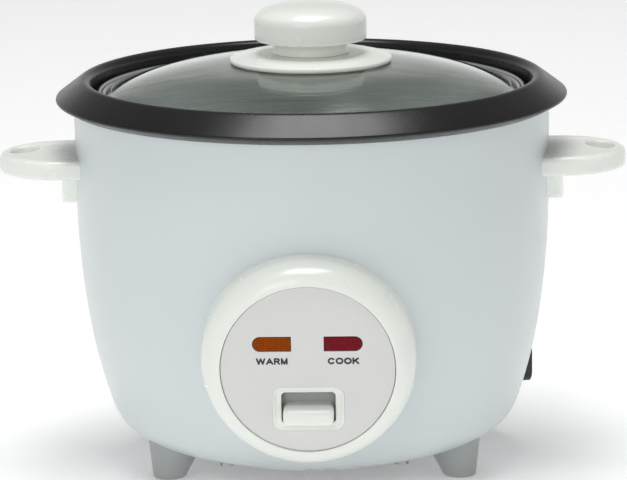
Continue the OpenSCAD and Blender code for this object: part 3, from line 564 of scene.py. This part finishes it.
def make_finish(slot):
    """The finish of each of the record's slots."""
    tone = colours()
    gloss = {"Coat_Weight": 0.3, "Coat_Roughness": 0.08}
    glow = {"Emission_Strength": 0.19, "Emission_Color": (1, 1, 1, 1)}
    steel = (0.55, 0.56, 0.57)
    makers = {
        "shell_paint": lambda n: paint_finish(n, tone.paint),
        "black_ring": lambda n: moulded_finish(
            n, tone.ring, 0.25, 0.29, 1900, 0.003, Specular_IOR_Level=0.42
        ),
        "galvanised": lambda n: metal_finish(n, (0.62, 0.63, 0.64), 0.38, 0.55, spots=160),
        "white_gloss": lambda n: moulded_finish(n, tone.plastic, 0.24, 0.28, 1500, 0.003, **gloss),
        "face_plastic": lambda n: moulded_finish(n, tone.face, 0.42, 0.52, 2200, 0.01),
        "foot_plastic": lambda n: moulded_finish(n, tone.feet, 0.40, 0.50, 1600, 0.012),
        "amber_lens": lambda n: lens_finish(n, tone.amber),
        "red_lens": lambda n: lens_finish(n, tone.red),
        "lamp_glass": lambda n: glass_finish(n, (0.95, 0.75, 0.55)),
        "screw_steel": lambda n: metal_finish(n, steel, 0.28, 0.42, Finish.turned, 1200),
        "cast_aluminium": lambda n: metal_finish(n, (0.66, 0.67, 0.68), 0.35, 0.5, Finish.turned, 1500, 0.03),
        "element_steel": lambda n: metal_finish(n, (0.33, 0.31, 0.30), 0.45, 0.65, scale=500, depth=0.02),
        "ferrite": lambda n: moulded_finish(n, (0.05, 0.05, 0.055), 0.55, 0.7, 2500, 0.03),
        "spring_steel": lambda n: metal_finish(n, (0.60, 0.60, 0.61), 0.25, 0.38, scale=1400),
        "brass": lambda n: metal_finish(n, (0.75, 0.58, 0.27), 0.25, 0.4),
        "black_plastic": lambda n: moulded_finish(n, (0.02, 0.02, 0.02), 0.4, 0.55, 1800, 0.02),
        "plunger_red": lambda n: moulded_finish(n, (0.55, 0.05, 0.03), 0.35, 0.45, 1800, 0.01),
        "ceramic": lambda n: moulded_finish(n, (0.80, 0.77, 0.70), 0.25, 0.4, 1200, 0.02, **gloss),
        "wire_jacket": lambda n: moulded_finish(n, (0.60, 0.10, 0.08), 0.5, 0.62, 1500, 0.02),
        "pot_aluminium": lambda n: metal_finish(
            n, (0.74, 0.74, 0.75), 0.24, 0.34, Finish.turned, 1800, 0.012
        ),
        "lid_glass": lambda n: glass_finish(n, tone.glass),
        "rim_steel": lambda n: metal_finish(n, (0.70, 0.70, 0.69), 0.12, 0.22, Finish.turned, 1600, 0.004),
        "seal_rubber": lambda n: moulded_finish(n, (0.50, 0.55, 0.47), 0.35, 0.5, 1500, 0.02),
        "lettering_ink": lambda n: moulded_finish(n, tone.lettering, 0.45, 0.6, 2500, 0.01),
        "floor_card": lambda n: moulded_finish(n, (0.93, 0.93, 0.93), 0.75, 0.85, 300, 0.05, **glow),
    }
    return makers[slot](slot + "_finish").material


def material(slot):
    """The material of a slot, made the first time that it is asked for."""
    return bpy.data.materials.get(slot + "_finish") or make_finish(slot)


# ---- Shell ----


def shell_ends(size):
    """The cubic curves of the side and of the bottom corner."""
    top = SHELL_HIGH.x
    corner_r = top - size.belly
    base_z = SHELL_LOW.z
    side = [
        (top - 0.3, size.waist_height),
        (top - 0.5, size.waist_height - 32),
        (corner_r + 10.8, size.corner_height + 30),
        (corner_r, size.corner_height),
    ]
    corner = [
        (corner_r, size.corner_height),
        (corner_r - 4.7, size.corner_height - 13),
        (size.base_radius + 16.8, base_z + 4),
        (size.base_radius, base_z),
    ]
    return side, corner


def shell_line(inward):
    """The shell's outline from its upper edge down to the service hole."""
    size = sizes()
    side, corner = shell_ends(size)
    return (
        [(SHELL_HIGH.x - inward, SHELL_HIGH.z)]
        + curve(side, 30, inward)
        + curve(corner, 22, inward)[1:]
        + [(size.service_radius, SHELL_LOW.z + inward)]
    )


def shell_blank(name="shell_blank"):
    """A solid of the shell's outer shape, used to trim what sits on it."""
    line = shell_line(0)
    return turn(name, [(0, SHELL_HIGH.z)] + line + [(0, SHELL_LOW.z)], closed=False)


class COOKER_OT_shell(bpy.types.Operator):
    """Builds the painted shell with its panel, inlet and service openings"""

    bl_idname = "cooker.shell"
    bl_label = "Shell"

    def execute(self, context):
        size = sizes()
        shell = turn("painted_shell", shell_line(0) + shell_line(size.shell_sheet)[::-1])
        hole_r, hole_depth = 36, 63
        combine(shell, settle(round_bar("panel_hole", hole_r, -hole_depth, 0), PANEL))
        inlet_size, inlet_r = (40, 27.2, 14.2), 96
        middle = (INLET_LOW + INLET_HIGH) / 2
        swing = math.atan2(middle.y, middle.x)
        place = Matrix.Rotation(swing, 4, "Z") @ Matrix.Translation((inlet_r * MM, 0, middle.z * MM))
        combine(shell, settle(block("inlet_hole", inlet_size, (0, 0, 0)), place))
        finish(shell, "base", "shell_paint", ["outer_shell"], smooth=28)
        return {"FINISHED"}


class COOKER_OT_ring(bpy.types.Operator):
    """Builds the black top ring with its rounded crest, sloping fascia and lip"""

    bl_idname = "cooker.ring"
    bl_label = "Top ring"

    def execute(self, context):
        size = sizes()
        shell_r, edge_z = SHELL_HIGH.x, SHELL_HIGH.z
        lip_r, crest_z = RING_HIGH.x, RING_HIGH.z
        opening = shell_r - OPENING_IN
        crest = (opening + size.crest_round, crest_z - size.crest_round)
        lip = (lip_r - size.lip_round, edge_z + 3.8)
        run = Vector(lip) - Vector(crest)
        slope = math.degrees(
            math.atan2(run.y, run.x) + math.acos((size.crest_round - size.lip_round) / run.length)
        )
        wall, under_slope = 1.6, -58
        ledge_r, ledge_z = opening - 5.8, edge_z - wall
        skirt_z, tongue_z = edge_z - 8, edge_z - 9
        tongue_in, tongue_out = shell_r - 3.4, shell_r - 1.4
        ledge = [
            (opening, edge_z + 1.2), (opening - 0.5, edge_z + 0.3), (opening - 1.4, edge_z),
            (ledge_r + 0.4, edge_z), (ledge_r, edge_z - 0.4), (ledge_r, ledge_z), (opening, ledge_z),
        ]
        skirt = [(opening, skirt_z), (opening + wall, skirt_z), (opening + wall, edge_z + wall)]
        tongue = [
            (tongue_in, edge_z + wall), (tongue_in, tongue_z), (tongue_out, tongue_z), (tongue_out, edge_z),
            (shell_r + 1.2, edge_z), (shell_r + 2.5, edge_z + 0.3),
        ]
        ring = turn("top_ring_black", (
            arc(lip, size.lip_round, under_slope, slope, 8)
            + arc(crest, size.crest_round, slope, 180, 16)
            + ledge + skirt + tongue
        ))
        finish(ring, "base", "black_ring", ["top_ring"], smooth=32)
        return {"FINISHED"}


# ---- Lid and pot ----

GLASS_POWER = 3.4
GLASS_RISE = 14


def glass_under(r):
    """Height of the underside of the glass."""
    return GLASS_LOW.z + GLASS_RISE * (1 - (r / GLASS_HIGH.x) ** GLASS_POWER)


class COOKER_OT_lid(bpy.types.Operator):
    """Builds the domed glass, its steel rim, and the seal under the knob"""

    bl_idname = "cooker.lid"
    bl_label = "Glass lid"

    def execute(self, context):
        edge = GLASS_HIGH.x
        thick = sizes().glass_thickness
        bore_r, flat_r, steps = 3.5, edge - 0.9, 40
        radii = [bore_r + (flat_r - bore_r) * (i / steps) for i in range(steps + 1)]
        under = [(r, glass_under(r)) for r in radii]
        over = [(r, glass_under(r) + thick) for r in radii]
        rounding = [
            (edge - 0.25, glass_under(edge) + 0.45),
            (edge, glass_under(edge) + 1.2),
            (edge, glass_under(edge) + thick - 1.0),
            (edge - 0.3, glass_under(edge) + thick - 0.1),
        ]
        glass = turn("domed_glass", under + rounding + over[::-1])
        steam_r, steam_y = 4.0, (EYELET_LOW.y + EYELET_HIGH.y) / 2
        hole = round_bar("steam_hole", steam_r, GLASS_LOW.z, GLASS_HIGH.z + 10)
        combine(glass, settle(hole, Matrix.Translation((0, steam_y * MM, 0))))
        finish(glass, "lid", "lid_glass", ["lid_glass"])

        rim_r, rim_z = RIM_HIGH.x, RIM_LOW.z
        top = glass_under(edge) + thick
        lip, fold, fit = edge - 3.4, edge - 2, 0.05
        lip_top = glass_under(lip) + thick
        band = turn("rim_band", [
            (fold, rim_z), (rim_r - 0.5, rim_z), (rim_r - 0.15, rim_z + 0.15), (rim_r, rim_z + 0.5),
            (rim_r, top + 0.6), (rim_r - 0.15, top + 1.0), (rim_r - 0.5, top + 1.2), (edge - 0.5, top + 0.8),
            (fold, glass_under(fold) + thick + 0.55), (lip + 0.3, lip_top + 0.5),
            (lip, lip_top + 0.3), (lip, lip_top + fit),
            (edge - 1.6, glass_under(edge - 1.6) + thick + fit), (edge + fit, top + fit),
            (edge + fit, GLASS_LOW.z - fit), (fold, GLASS_LOW.z - fit),
        ])
        finish(band, "lid", "rim_steel", ["lid_rim"])

        seal_r, low = SEAL_HIGH.x, SEAL_LOW.z
        seal = turn("knob_gasket", [
            (BOLT_R, low), (seal_r - 8, low), (seal_r - 7.4, low + 0.7), (seal_r - 3.2, low + 0.7),
            (seal_r - 2.8, low + 0.2), (seal_r - 0.8, low + 0.5), (seal_r, low + 1.4),
            (seal_r, glass_under(seal_r) - fit), (seal_r / 2, glass_under(seal_r / 2) - fit),
            (BOLT_R, glass_under(0) - 2 * fit),
        ])
        finish(seal, "lid", "seal_rubber", ["knob_seal"])
        return {"FINISHED"}


class COOKER_OT_knob(bpy.types.Operator):
    """Builds the knob's waisted neck and domed cap, and the bevelled disc under it"""

    bl_idname = "cooker.knob"
    bl_label = "Knob"

    def execute(self, context):
        cap_r, cap_h, top = KNOB_HIGH.x, 17.4, KNOB_HIGH.z
        cap_z, neck_z, neck_r = top - cap_h, KNOB_LOW.z, 17.5
        waist = [
            (neck_r, neck_z + 0.2), (neck_r - 1.3, neck_z + 2.5),
            (neck_r - 1.0, cap_z - 1), (neck_r + 0.6, cap_z),
        ]
        shoulder = [(cap_r, cap_z + 8), (cap_r, cap_z + 13.9), (cap_r - 7, cap_z + 16.9), (0, top)]
        outline = (
            [(0, neck_z), (neck_r - 0.5, neck_z)]
            + curve(waist, 8)
            + [(cap_r - 2.4, cap_z)]
            + arc((cap_r - 1.5, cap_z + 1.5), 1.5, -90, 0, 6)
            + curve(shoulder, 24)
        )
        knob = turn("knob_cap", outline, closed=False)
        thread_r, thread_depth = 3.0, 11
        combine(knob, round_bar("bolt_hole", thread_r, neck_z - 1, neck_z + thread_depth))
        finish(knob, "lid", "white_gloss", ["lid_knob"])

        disc_r, low, high = DISC_HIGH.x, DISC_LOW.z, DISC_HIGH.z
        rim_z = glass_under(disc_r) + sizes().glass_thickness + 0.2
        disc = turn("knob_plate", [
            (3.2, low + 0.02), (10, low), (20, low - 0.15), (28, low - 0.55),
            (disc_r - 0.8, rim_z + 0.1), (disc_r - 0.25, rim_z + 0.3), (disc_r, rim_z + 0.8),
            (disc_r, rim_z + 1.4), (disc_r - 0.3, rim_z + 2.0), (disc_r - 1.2, rim_z + 2.45),
            (disc_r - 3.4, rim_z + 2.85), (disc_r - 3.9, rim_z + 3.0), (disc_r - 4.6, rim_z + 3.3),
            (neck_r + 6, high - 0.35), (neck_r + 1.4, high), (3.2, high),
        ])
        finish(disc, "lid", "white_gloss", ["knob_disc"])
        return {"FINISHED"}


class COOKER_OT_pot(bpy.types.Operator):
    """Builds the loose pot with its round bottom corner and rolled rim"""

    bl_idname = "cooker.pot"
    bl_label = "Pot"

    def execute(self, context):
        wall, corner, bead, collar = 1.2, 20, 0.8, 6.6
        pot_r, low, top = 91.0, POT_LOW.z, POT_HIGH.z
        rim_r = POT_HIGH.x
        rim_z = top - collar
        inner = pot_r - corner
        pot = turn("pot_shell", (
            [(0, low)]
            + arc((inner, low + corner), corner, -90, 0, 20)
            + [(pot_r, rim_z - 1.5), (pot_r + 0.5, rim_z - 0.4), (pot_r + 1.5, rim_z)]
            + [(rim_r - 0.6, rim_z), (rim_r - 0.15, rim_z + 0.2), (rim_r, rim_z + 0.7)]
            + arc((rim_r - bead, top - bead), bead, 0, 180, 12)
            + [(rim_r - 2 * bead, rim_z + wall + 0.6), (rim_r - 2 * bead - 0.5, rim_z + wall)]
            + [(pot_r + 0.6, rim_z + wall), (pot_r - wall + 0.5, rim_z + wall - 0.4), (pot_r - wall, rim_z)]
            + arc((inner, low + corner), corner - wall, 0, -90, 20)
            + [(0, low + wall)]
        ), closed=False)
        finish(pot, "pot", "pot_aluminium", ["inner_pot"])
        return {"FINISHED"}


# ---- Handles and feet ----


class COOKER_OT_handles(bpy.types.Operator):
    """Builds both side handles: a plate with a round end and a finger hole on a curved root"""

    bl_idname = "cooker.handles"
    bl_label = "Handles"

    def execute(self, context):
        reach, half, crown = HANDLE_HIGH.x, HANDLE_HIGH.y, HANDLE_HIGH.z
        plate_low = crown - 11
        middle = reach - half
        run_in, root_r, root_drop, root_out = 28, 18.5, 15, 6.4
        section = (
            [(0, plate_low), (half - 2.2, plate_low)]
            + arc((half - 2.0, plate_low + 2.0), 2.0, -80, 0, 6)
            + arc((half - 3.0, crown - 5), 3.0, 0, 70, 8)
            + [(half * 0.55, crown - 0.9), (half * 0.25, crown - 0.2), (0, crown)]
        )
        plate = turn("handle_moulded_right", section, closed=False)
        settle(plate, Matrix.Translation((middle * MM, 0, 0)))
        edit(plate)
        bpy.ops.mesh.bisect(
            plane_co=(middle * MM, 0, 0), plane_no=(1, 0, 0), clear_inner=True, use_fill=True
        )
        done()
        choose(plate, "FACE", lambda f: f.normal.x < -0.9 and abs(f.center.x - middle * MM) < 0.1 * MM)
        bpy.ops.mesh.extrude_region_move(TRANSFORM_OT_translate={"value": (-run_in * MM, 0, 0)})
        done()

        root = round_bar("root", root_r, 84, 130, 64)
        settle(root, Matrix.Rotation(math.radians(90), 4, "Y"))
        root.data.transform(Matrix.Translation((0, 0, (plate_low + root_r - root_drop) * MM)))
        level, flatten = (plate_low + root_r - root_drop) * MM, 0.2
        for vertex in root.data.vertices:
            if vertex.co.z > level:
                vertex.co.z = level + (vertex.co.z - level) * flatten
        drum = round_bar("root_depth", SHELL_HIGH.x + root_out, plate_low - 20, plate_low + 12, 192)
        combine(root, drum, "INTERSECT")
        combine(plate, root, "UNION")

        hole_w, hole_h, hole_edge = 13, 17, 5
        hole = slab("finger_hole", hole_w, hole_h, hole_w / 2 - 0.01, plate_low - 30, crown + 10)
        settle(hole, Matrix.Translation(((reach - hole_edge - hole_w / 2) * MM, 0, 0)))
        combine(plate, hole)
        apply_modifier(plate, "REMESH", mode="VOXEL", voxel_size=sizes().handle_softness * MM)
        apply_modifier(plate, "SMOOTH", factor=0.5, iterations=8)
        combine(plate, shell_blank())
        left = copy_of(plate, "handle_moulded_left", Matrix.Scale(-1, 4, (1, 0, 0)))
        finish(plate, "base", "white_gloss", ["handle_right"], smooth=60)
        finish(left, "base", "white_gloss", ["handle_left"], smooth=60)
        return {"FINISHED"}


class COOKER_OT_feet(bpy.types.Operator):
    """Builds the four splayed feet, trimmed to the shell and to the ground"""

    bl_idname = "cooker.feet"
    bl_label = "Feet"

    def execute(self, context):
        ring, lean, taper, foot_r = 76.6, 13, math.tan(math.radians(18)), 7
        below, above = 4, 26
        angles = {"front_right": -30, "front_left": 210, "rear_left": 150, "rear_right": 30}
        blank = shell_blank()
        for place, angle in angles.items():
            leave_selection()
            bpy.ops.mesh.primitive_cone_add(
                vertices=96, radius1=(foot_r - below * taper) * MM, radius2=(foot_r + above * taper) * MM,
                depth=(below + above) * MM, location=(0, 0, (above - below) / 2 * MM),
            )
            foot = named(f"foot_{place}_moulded")
            stand = (
                Matrix.Rotation(math.radians(angle), 4, "Z")
                @ Matrix.Translation((ring * MM, 0, 0))
                @ Matrix.Rotation(math.radians(-lean), 4, "Y")
            )
            settle(foot, stand)
            edit(foot)
            bpy.ops.mesh.bisect(plane_co=(0, 0, 0), plane_no=(0, 0, 1), clear_inner=True, use_fill=True)
            done()
            choose(foot, "FACE", lambda f: f.normal.z < -0.99 and f.center.z < NEAR)
            bpy.ops.mesh.region_to_loop()
            bpy.ops.mesh.bevel(offset=0.9 * MM, segments=3, affect="EDGES")
            done()
            combine(foot, blank, keep_tool=True)
            finish(foot, "base", "foot_plastic", [f"foot_{place}"])
        bpy.data.objects.remove(blank)
        return {"FINISHED"}


# ---- Control panel ----


class COOKER_OT_bezel(bpy.types.Operator):
    """Builds the round bezel, trimmed to the shell"""

    bl_idname = "cooker.bezel"
    bl_label = "Bezel"

    def execute(self, context):
        size = sizes()
        outer, face, rise, wall, depth = size.bezel_radius, size.face_radius, 12.3, 2, 30
        shelf_r, shelf_low = face - 2.2, FACE_BACK - 1.6
        band = [(outer, 0), (outer, 5.4), (face + 5.6, rise - 0.6), (face + 0.4, rise)]
        outline = (
            [(outer, -depth)]
            + curve(band, 24)
            + [(face + 0.1, rise - 0.05), (face, rise - 0.35), (face - 0.1, FACE_BACK)]
            + [(shelf_r, FACE_BACK), (shelf_r, shelf_low)]
            + curve(band, 24, -wall)[::-1]
            + [(outer - wall, -depth)]
        )
        bezel = settle(turn("panel_bezel", outline), PANEL)
        combine(bezel, shell_blank())
        finish(bezel, "base", "white_gloss", ["control_bezel"], smooth=40)
        return {"FINISHED"}


def lens_blank(name, side, grow, low, high):
    """A lens outline: square at the inner end and round at the outer end."""
    height, width = LENS_HEIGHT + 2 * grow, LENS_WIDTH + 2 * grow
    centre_x, centre_y = side * LENS_X, LENS_Y
    body = block(
        name, (width - height / 2, height, high - low),
        (centre_x - side * height / 4, centre_y, (low + high) / 2),
    )
    end = round_bar(name + "_end", height / 2, low, high, 64)
    end.data.transform(Matrix.Translation(((centre_x + side * (width - height) / 2) * MM, centre_y * MM, 0)))
    return combine(body, end, "UNION")


class COOKER_OT_face(bpy.types.Operator):
    """Builds the flat face with its lamp windows, and the dished white surround of the lever's slot"""

    bl_idname = "cooker.face"
    bl_label = "Face"

    def execute(self, context):
        face = round_bar("panel_face", sizes().face_radius - 0.3, FACE_BACK, FACE_TOP, 192)
        soften(face, 0.25, 2, 60)
        opening = slab("surround_opening", *SURROUND_SIZE, *THROUGH)
        combine(face, settle(opening, Matrix.Translation((0, SURROUND_Y * MM, 0))))
        for side in (-1, 1):
            combine(face, lens_blank("window", side, 0, *THROUGH))
        finish(settle(face, PANEL), "base", "face_plastic", ["control_fascia"], smooth=30)

        fit, edge, slope, dish = 0.05, 0.5, 1.3, 0.8
        width, height, corner = SURROUND_SIZE
        surround = slab(
            "slot_surround", width - 2 * fit, height - 2 * fit, corner - fit, FACE_BACK, FACE_TOP + 2 * fit
        )
        choose(surround, "FACE", lambda f: f.normal.z > 0.9)
        bpy.ops.mesh.inset(thickness=edge * MM, depth=0)
        bpy.ops.mesh.inset(thickness=slope * MM, depth=-dish * MM)
        done()
        settle(surround, Matrix.Translation((0, SURROUND_Y * MM, 0)))
        slot = slab("lever_slot", *SLOT_SIZE, *THROUGH)
        combine(surround, settle(slot, Matrix.Translation((0, SLOT_Y * MM, 0))))
        soften(surround, 0.3, 3, 20)
        finish(settle(surround, PANEL), "base", "white_gloss", smooth=40)
        return {"FINISHED"}


class COOKER_OT_lenses(bpy.types.Operator):
    """Builds the two lamp lenses, each with a dark gap, a flange and rows of small prisms"""

    bl_idname = "cooker.lenses"
    bl_label = "Lenses"

    def execute(self, context):
        gap, proud, columns, rows, prism, depth = 0.35, 0.15, 22, 10, 0.42, 2.6
        flange_out, flange_low = 0.9, FACE_BACK - 0.8
        for side, name, slot, node in (
            (-1, "amber_window", "amber_lens", "warm_lens"), (1, "red_window", "red_lens", "cook_lens"),
        ):
            lens = lens_blank(name, side, -gap, FACE_BACK - 0.5, FACE_TOP + proud)
            leave_selection()
            bpy.ops.mesh.primitive_grid_add(
                x_subdivisions=columns, y_subdivisions=rows, size=MM,
                location=(side * LENS_X * MM, LENS_Y * MM, (FACE_TOP - proud) * MM),
            )
            prisms = named("prisms")
            prisms.scale = (columns * LENS_PITCH, rows * LENS_PITCH, 1)
            settle(prisms)
            edit(prisms)
            bpy.ops.mesh.extrude_region_move(TRANSFORM_OT_translate={"value": (0, 0, -depth * MM)})
            bpy.ops.mesh.select_all(action="SELECT")
            bpy.ops.mesh.normals_make_consistent(inside=False)
            done()
            choose(prisms, "FACE", lambda f: f.normal.z > 0.9)
            bpy.ops.mesh.poke(offset=prism * MM)
            done()
            combine(lens, prisms, "INTERSECT")
            flange = lens_blank("flange", side, flange_out, flange_low, FACE_BACK - 0.05)
            combine(lens, flange, "UNION")
            finish(settle(lens, PANEL), "base", slot, [node], smooth=10)
        return {"FINISHED"}


# Plain block letters, each drawn as strokes between corners of a unit square
LETTERS = {
    "W": [(0, 1), (0.24, 0), (0.5, 1), (0.76, 0), (1, 1)],
    "A": [(0, 0), (0.5, 1), (1, 0)],
    "R": [(0, 0), (0, 1), (0.62, 1), (0.9, 0.88), (0.9, 0.62), (0.62, 0.5), (0, 0.5)],
    "M": [(0, 0), (0, 1), (0.5, 0), (1, 1), (1, 0)],
    "K": [(0, 0), (0, 1)],
}
EXTRA_STROKES = {
    "A": [(0.2, 0.3), (0.8, 0.3)],
    "R": [(0.5, 0.5), (0.95, 0)],
    "K": [(0.95, 1), (0.1, 0.42), (0.35, 0.62), (1, 0)],
}
LETTERS["O"] = [(0.5 + 0.5 * x, 0.5 + 0.5 * y) for x, y in arc((0, 0), 1, 0, 360, 24)]
LETTERS["C"] = [(0.5 + 0.5 * x, 0.5 + 0.5 * y) for x, y in arc((0, 0), 1, 42, 318, 22)]


def stroke(name, start, end, width, low, high):
    """A flat bar from one point to another, with round ends."""
    course = Vector(end) - Vector(start)
    bar = slab(name, course.length + width, width, width * 0.42, low, high)
    place = Matrix.Rotation(math.atan2(course.y, course.x), 4, "Z")
    place.translation = ((start[0] + end[0]) / 2 * MM, (start[1] + end[1]) / 2 * MM, 0)
    return settle(bar, place)


class COOKER_OT_words(bpy.types.Operator):
    """Sets the two plain function words under the lamps"""

    bl_idname = "cooker.words"
    bl_label = "Words"

    def execute(self, context):
        height, pen, gap = 2.3, 0.74, 0.28
        low, high = FACE_TOP + 0.01, FACE_TOP + 0.05
        for side, word, widths in ((-1, "WARM", (3.3, 2.4, 2.0, 2.2)), (1, "COOK", (2.4, 2.6, 2.6, 2.2))):
            x = side * LENS_X - (sum(widths) + 3 * (gap + pen)) / 2
            bars = []
            for letter, width in zip(word, widths):
                for points in (LETTERS[letter], EXTRA_STROKES.get(letter, [])):
                    placed = [(x + u * width, WORD_Y + (v - 0.5) * height) for u, v in points]
                    for start, end in zip(placed, placed[1:]):
                        # Each bar is a hair higher than the last, so that no two tops lie in one plane
                        bars.append(stroke("stroke", start, end, pen, low, high + 0.002 * len(bars)))
                x += width + gap + pen
            pick(*bars)
            bpy.ops.object.join()
            text = named(f"word_{word.lower()}")
            settle(text, PANEL)
            finish(text, "base", "lettering_ink")
            text["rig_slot"] = "black_plastic"
        return {"FINISHED"}


class COOKER_OT_lever(bpy.types.Operator):
    """Builds the lever's button: a soft, domed paddle on a plate that closes the slot, with the plate in grey
    as painted shade, and its tail
    """

    bl_idname = "cooker.lever"
    bl_label = "Lever button"

    def execute(self, context):
        width, height, low, high = 22.0, 7.2, 5.5, 18.9
        middle_y, rounding = -20.3, 2.4
        button = block("lever_paddle", (width, height, high - low), (0, middle_y, (low + high) / 2))

        def outer(edge):
            a, b = edge_ends(button, edge)
            return abs(a.z - b.z) > NEAR or min(a.z, b.z) > (high - 1) * MM

        choose(button, "EDGE", outer)
        bpy.ops.mesh.bevel(offset=rounding * MM, segments=8, profile=0.5, affect="EDGES")
        done()
        settle(button, PANEL)

        shutter_size, shutter_low, shutter_t, shutter_y = (26, 21.6, 2), 5.2, 1.5, -20.4
        shutter = slab("lever_shutter", *shutter_size, shutter_low, shutter_low + shutter_t)
        soften(shutter, 0.3, 2, 60)
        shutter.data.transform(Matrix.Translation((0, shutter_y * MM, 0)))
        # Painted shade: the plate behind the slot is white plastic, and the feet's grey given to it stands
        # for the shade inside the slot
        finish(settle(shutter, PANEL), "lever", "foot_plastic", smooth=40)

        tail_w, tail_t, pivot_z = 12, 6, 38
        tail_centre = (0, BUTTON_HIGH.y - tail_t / 2, pivot_z + tail_w / 2)
        tail = block("tail", (tail_w, tail_t, tail_w), tail_centre, 0.6)
        pick(button, tail)
        bpy.ops.object.join()
        finish(button, "lever", "white_gloss", ["lever_button"], smooth=40)
        return {"FINISHED"}


class COOKER_OT_finishes(bpy.types.Operator):
    """Gives each CAD piece that stays the finish of its slot in the record"""

    bl_idname = "cooker.finishes"
    bl_label = "Finishes"

    def execute(self, context):
        for name, obj in frame["nodes"].items():
            obj.data.materials.clear()
            obj.data.materials.append(material(SLOT_OF[name]))
        return {"FINISHED"}


# ---- Stage ----


def soft_light(name, place, aim, width, height, power):
    """A large soft lamp that points at a place."""
    leave_selection()
    bpy.ops.object.light_add(type="AREA", location=place)
    lamp = bpy.context.object
    lamp.name = name
    lamp.data.shape = "RECTANGLE"
    lamp.data.size = width
    lamp.data.size_y = height
    lamp.data.energy = power
    lamp.rotation_euler = (Vector(aim) - Vector(place)).to_track_quat("-Z", "Y").to_euler()
    return lamp


def studio_world():
    """Surroundings that are pale near the ground, darker overhead, and brightest in front."""
    horizon, overhead, overhead_at = (0.95, 0.96, 0.95), (0.24, 0.245, 0.24), 0.38
    front_strength, back_strength, back_at = 1.25, 0.95, 0.6
    world = bpy.data.worlds.new("studio")
    world.use_nodes = True
    nodes, links = world.node_tree.nodes, world.node_tree.links
    background = nodes["Background"]
    coordinates = nodes.new("ShaderNodeTexCoord")
    parts = nodes.new("ShaderNodeSeparateXYZ")
    ramp = two_tone(nodes, (0, overhead_at), (horizon, overhead))
    depth = map_range(nodes, (-1, back_at), (front_strength, back_strength))
    links.new(coordinates.outputs["Generated"], parts.inputs[0])
    links.new(parts.outputs["Z"], ramp.inputs["Fac"])
    links.new(parts.outputs["Y"], depth.inputs["Value"])
    links.new(ramp.outputs["Color"], background.inputs["Color"])
    links.new(depth.outputs["Result"], background.inputs["Strength"])
    return world


def front_camera():
    """A long lens in front of the panel, a little above it and to its right."""
    swing, roll = math.radians(1.6), math.radians(-0.85)
    distance, height, aim = 1.9564, 0.5051, Vector((0, 0, 0.101))
    place = Matrix.Rotation(swing, 4, "Z") @ Vector((0, -distance, height))
    leave_selection()
    bpy.ops.object.camera_add(location=place)
    camera = bpy.context.object
    camera.name = "front_camera"
    camera.data.lens = 250.7
    camera.data.sensor_width = 36
    camera.data.clip_start = 0.05
    camera.data.clip_end = 60
    look = (aim - place).to_track_quat("-Z", "Y").to_matrix().to_4x4()
    camera.matrix_world = Matrix.Translation(place) @ look @ Matrix.Rotation(roll, 4, "Z")
    return camera


class COOKER_OT_stage(bpy.types.Operator):
    """Sets the pale floor, the soft lights, the surroundings and the camera"""

    bl_idname = "cooker.stage"
    bl_label = "Stage"

    def execute(self, context):
        scene = context.scene
        leave_selection()
        floor_r, floor_drop = 14, 0.0002
        bpy.ops.mesh.primitive_circle_add(
            vertices=96, radius=floor_r, fill_type="NGON", location=(0, 0, -floor_drop)
        )
        floor = named("stage_floor")
        floor.data.materials.append(material("floor_card"))

        soft_light("top_softbox", (-0.05, -0.1, 3.0), (0, 0, 0.15), 1.5, 2.0, 62)
        soft_light("front_softbox", (-0.8, -2.4, 1.1), (0, 0, 0.1), 1.2, 1.2, 9)

        scene.world = studio_world()
        scene.camera = front_camera()
        scene.view_settings.view_transform = "Standard"
        return {"FINISHED"}


class COOKER_PT_panel(bpy.types.Panel):
    """Lists the pieces, sizes and colours"""

    bl_idname = "COOKER_PT_panel"
    bl_label = "Rice cooker"
    bl_space_type = "VIEW_3D"
    bl_region_type = "UI"
    bl_category = "Cooker"

    def draw(self, context):
        column = self.layout.column(align=True)
        for operator in PIECES:
            column.operator(operator.bl_idname)
        for group in (context.scene.cooker_sizes, context.scene.cooker_colours):
            box = self.layout.box()
            for name in group.__annotations__:
                box.prop(group, name)


PIECES = (
    COOKER_OT_stage,
    COOKER_OT_finishes,
    COOKER_OT_shell,
    COOKER_OT_ring,
    COOKER_OT_pot,
    COOKER_OT_lid,
    COOKER_OT_knob,
    COOKER_OT_handles,
    COOKER_OT_feet,
    COOKER_OT_bezel,
    COOKER_OT_face,
    COOKER_OT_lenses,
    COOKER_OT_words,
    COOKER_OT_lever,
)
CLASSES = (CookerSizes, CookerColours) + PIECES + (COOKER_PT_panel,)


def register():
    """Registers the classes and their settings."""
    for cls in CLASSES:
        bpy.utils.register_class(cls)
    bpy.types.Scene.cooker_sizes = PointerProperty(type=CookerSizes)
    bpy.types.Scene.cooker_colours = PointerProperty(type=CookerColours)


def unregister():
    """Removes the classes and their settings."""
    del bpy.types.Scene.cooker_colours
    del bpy.types.Scene.cooker_sizes
    for cls in reversed(CLASSES):
        bpy.utils.unregister_class(cls)


def main():
    """Registers the classes and builds every piece in order."""
    register()
    for operator in PIECES:
        group, name = operator.bl_idname.split(".")
        getattr(getattr(bpy.ops, group), name)()
    bpy.context.view_layer.update()


if __name__ == "__main__":
    main()
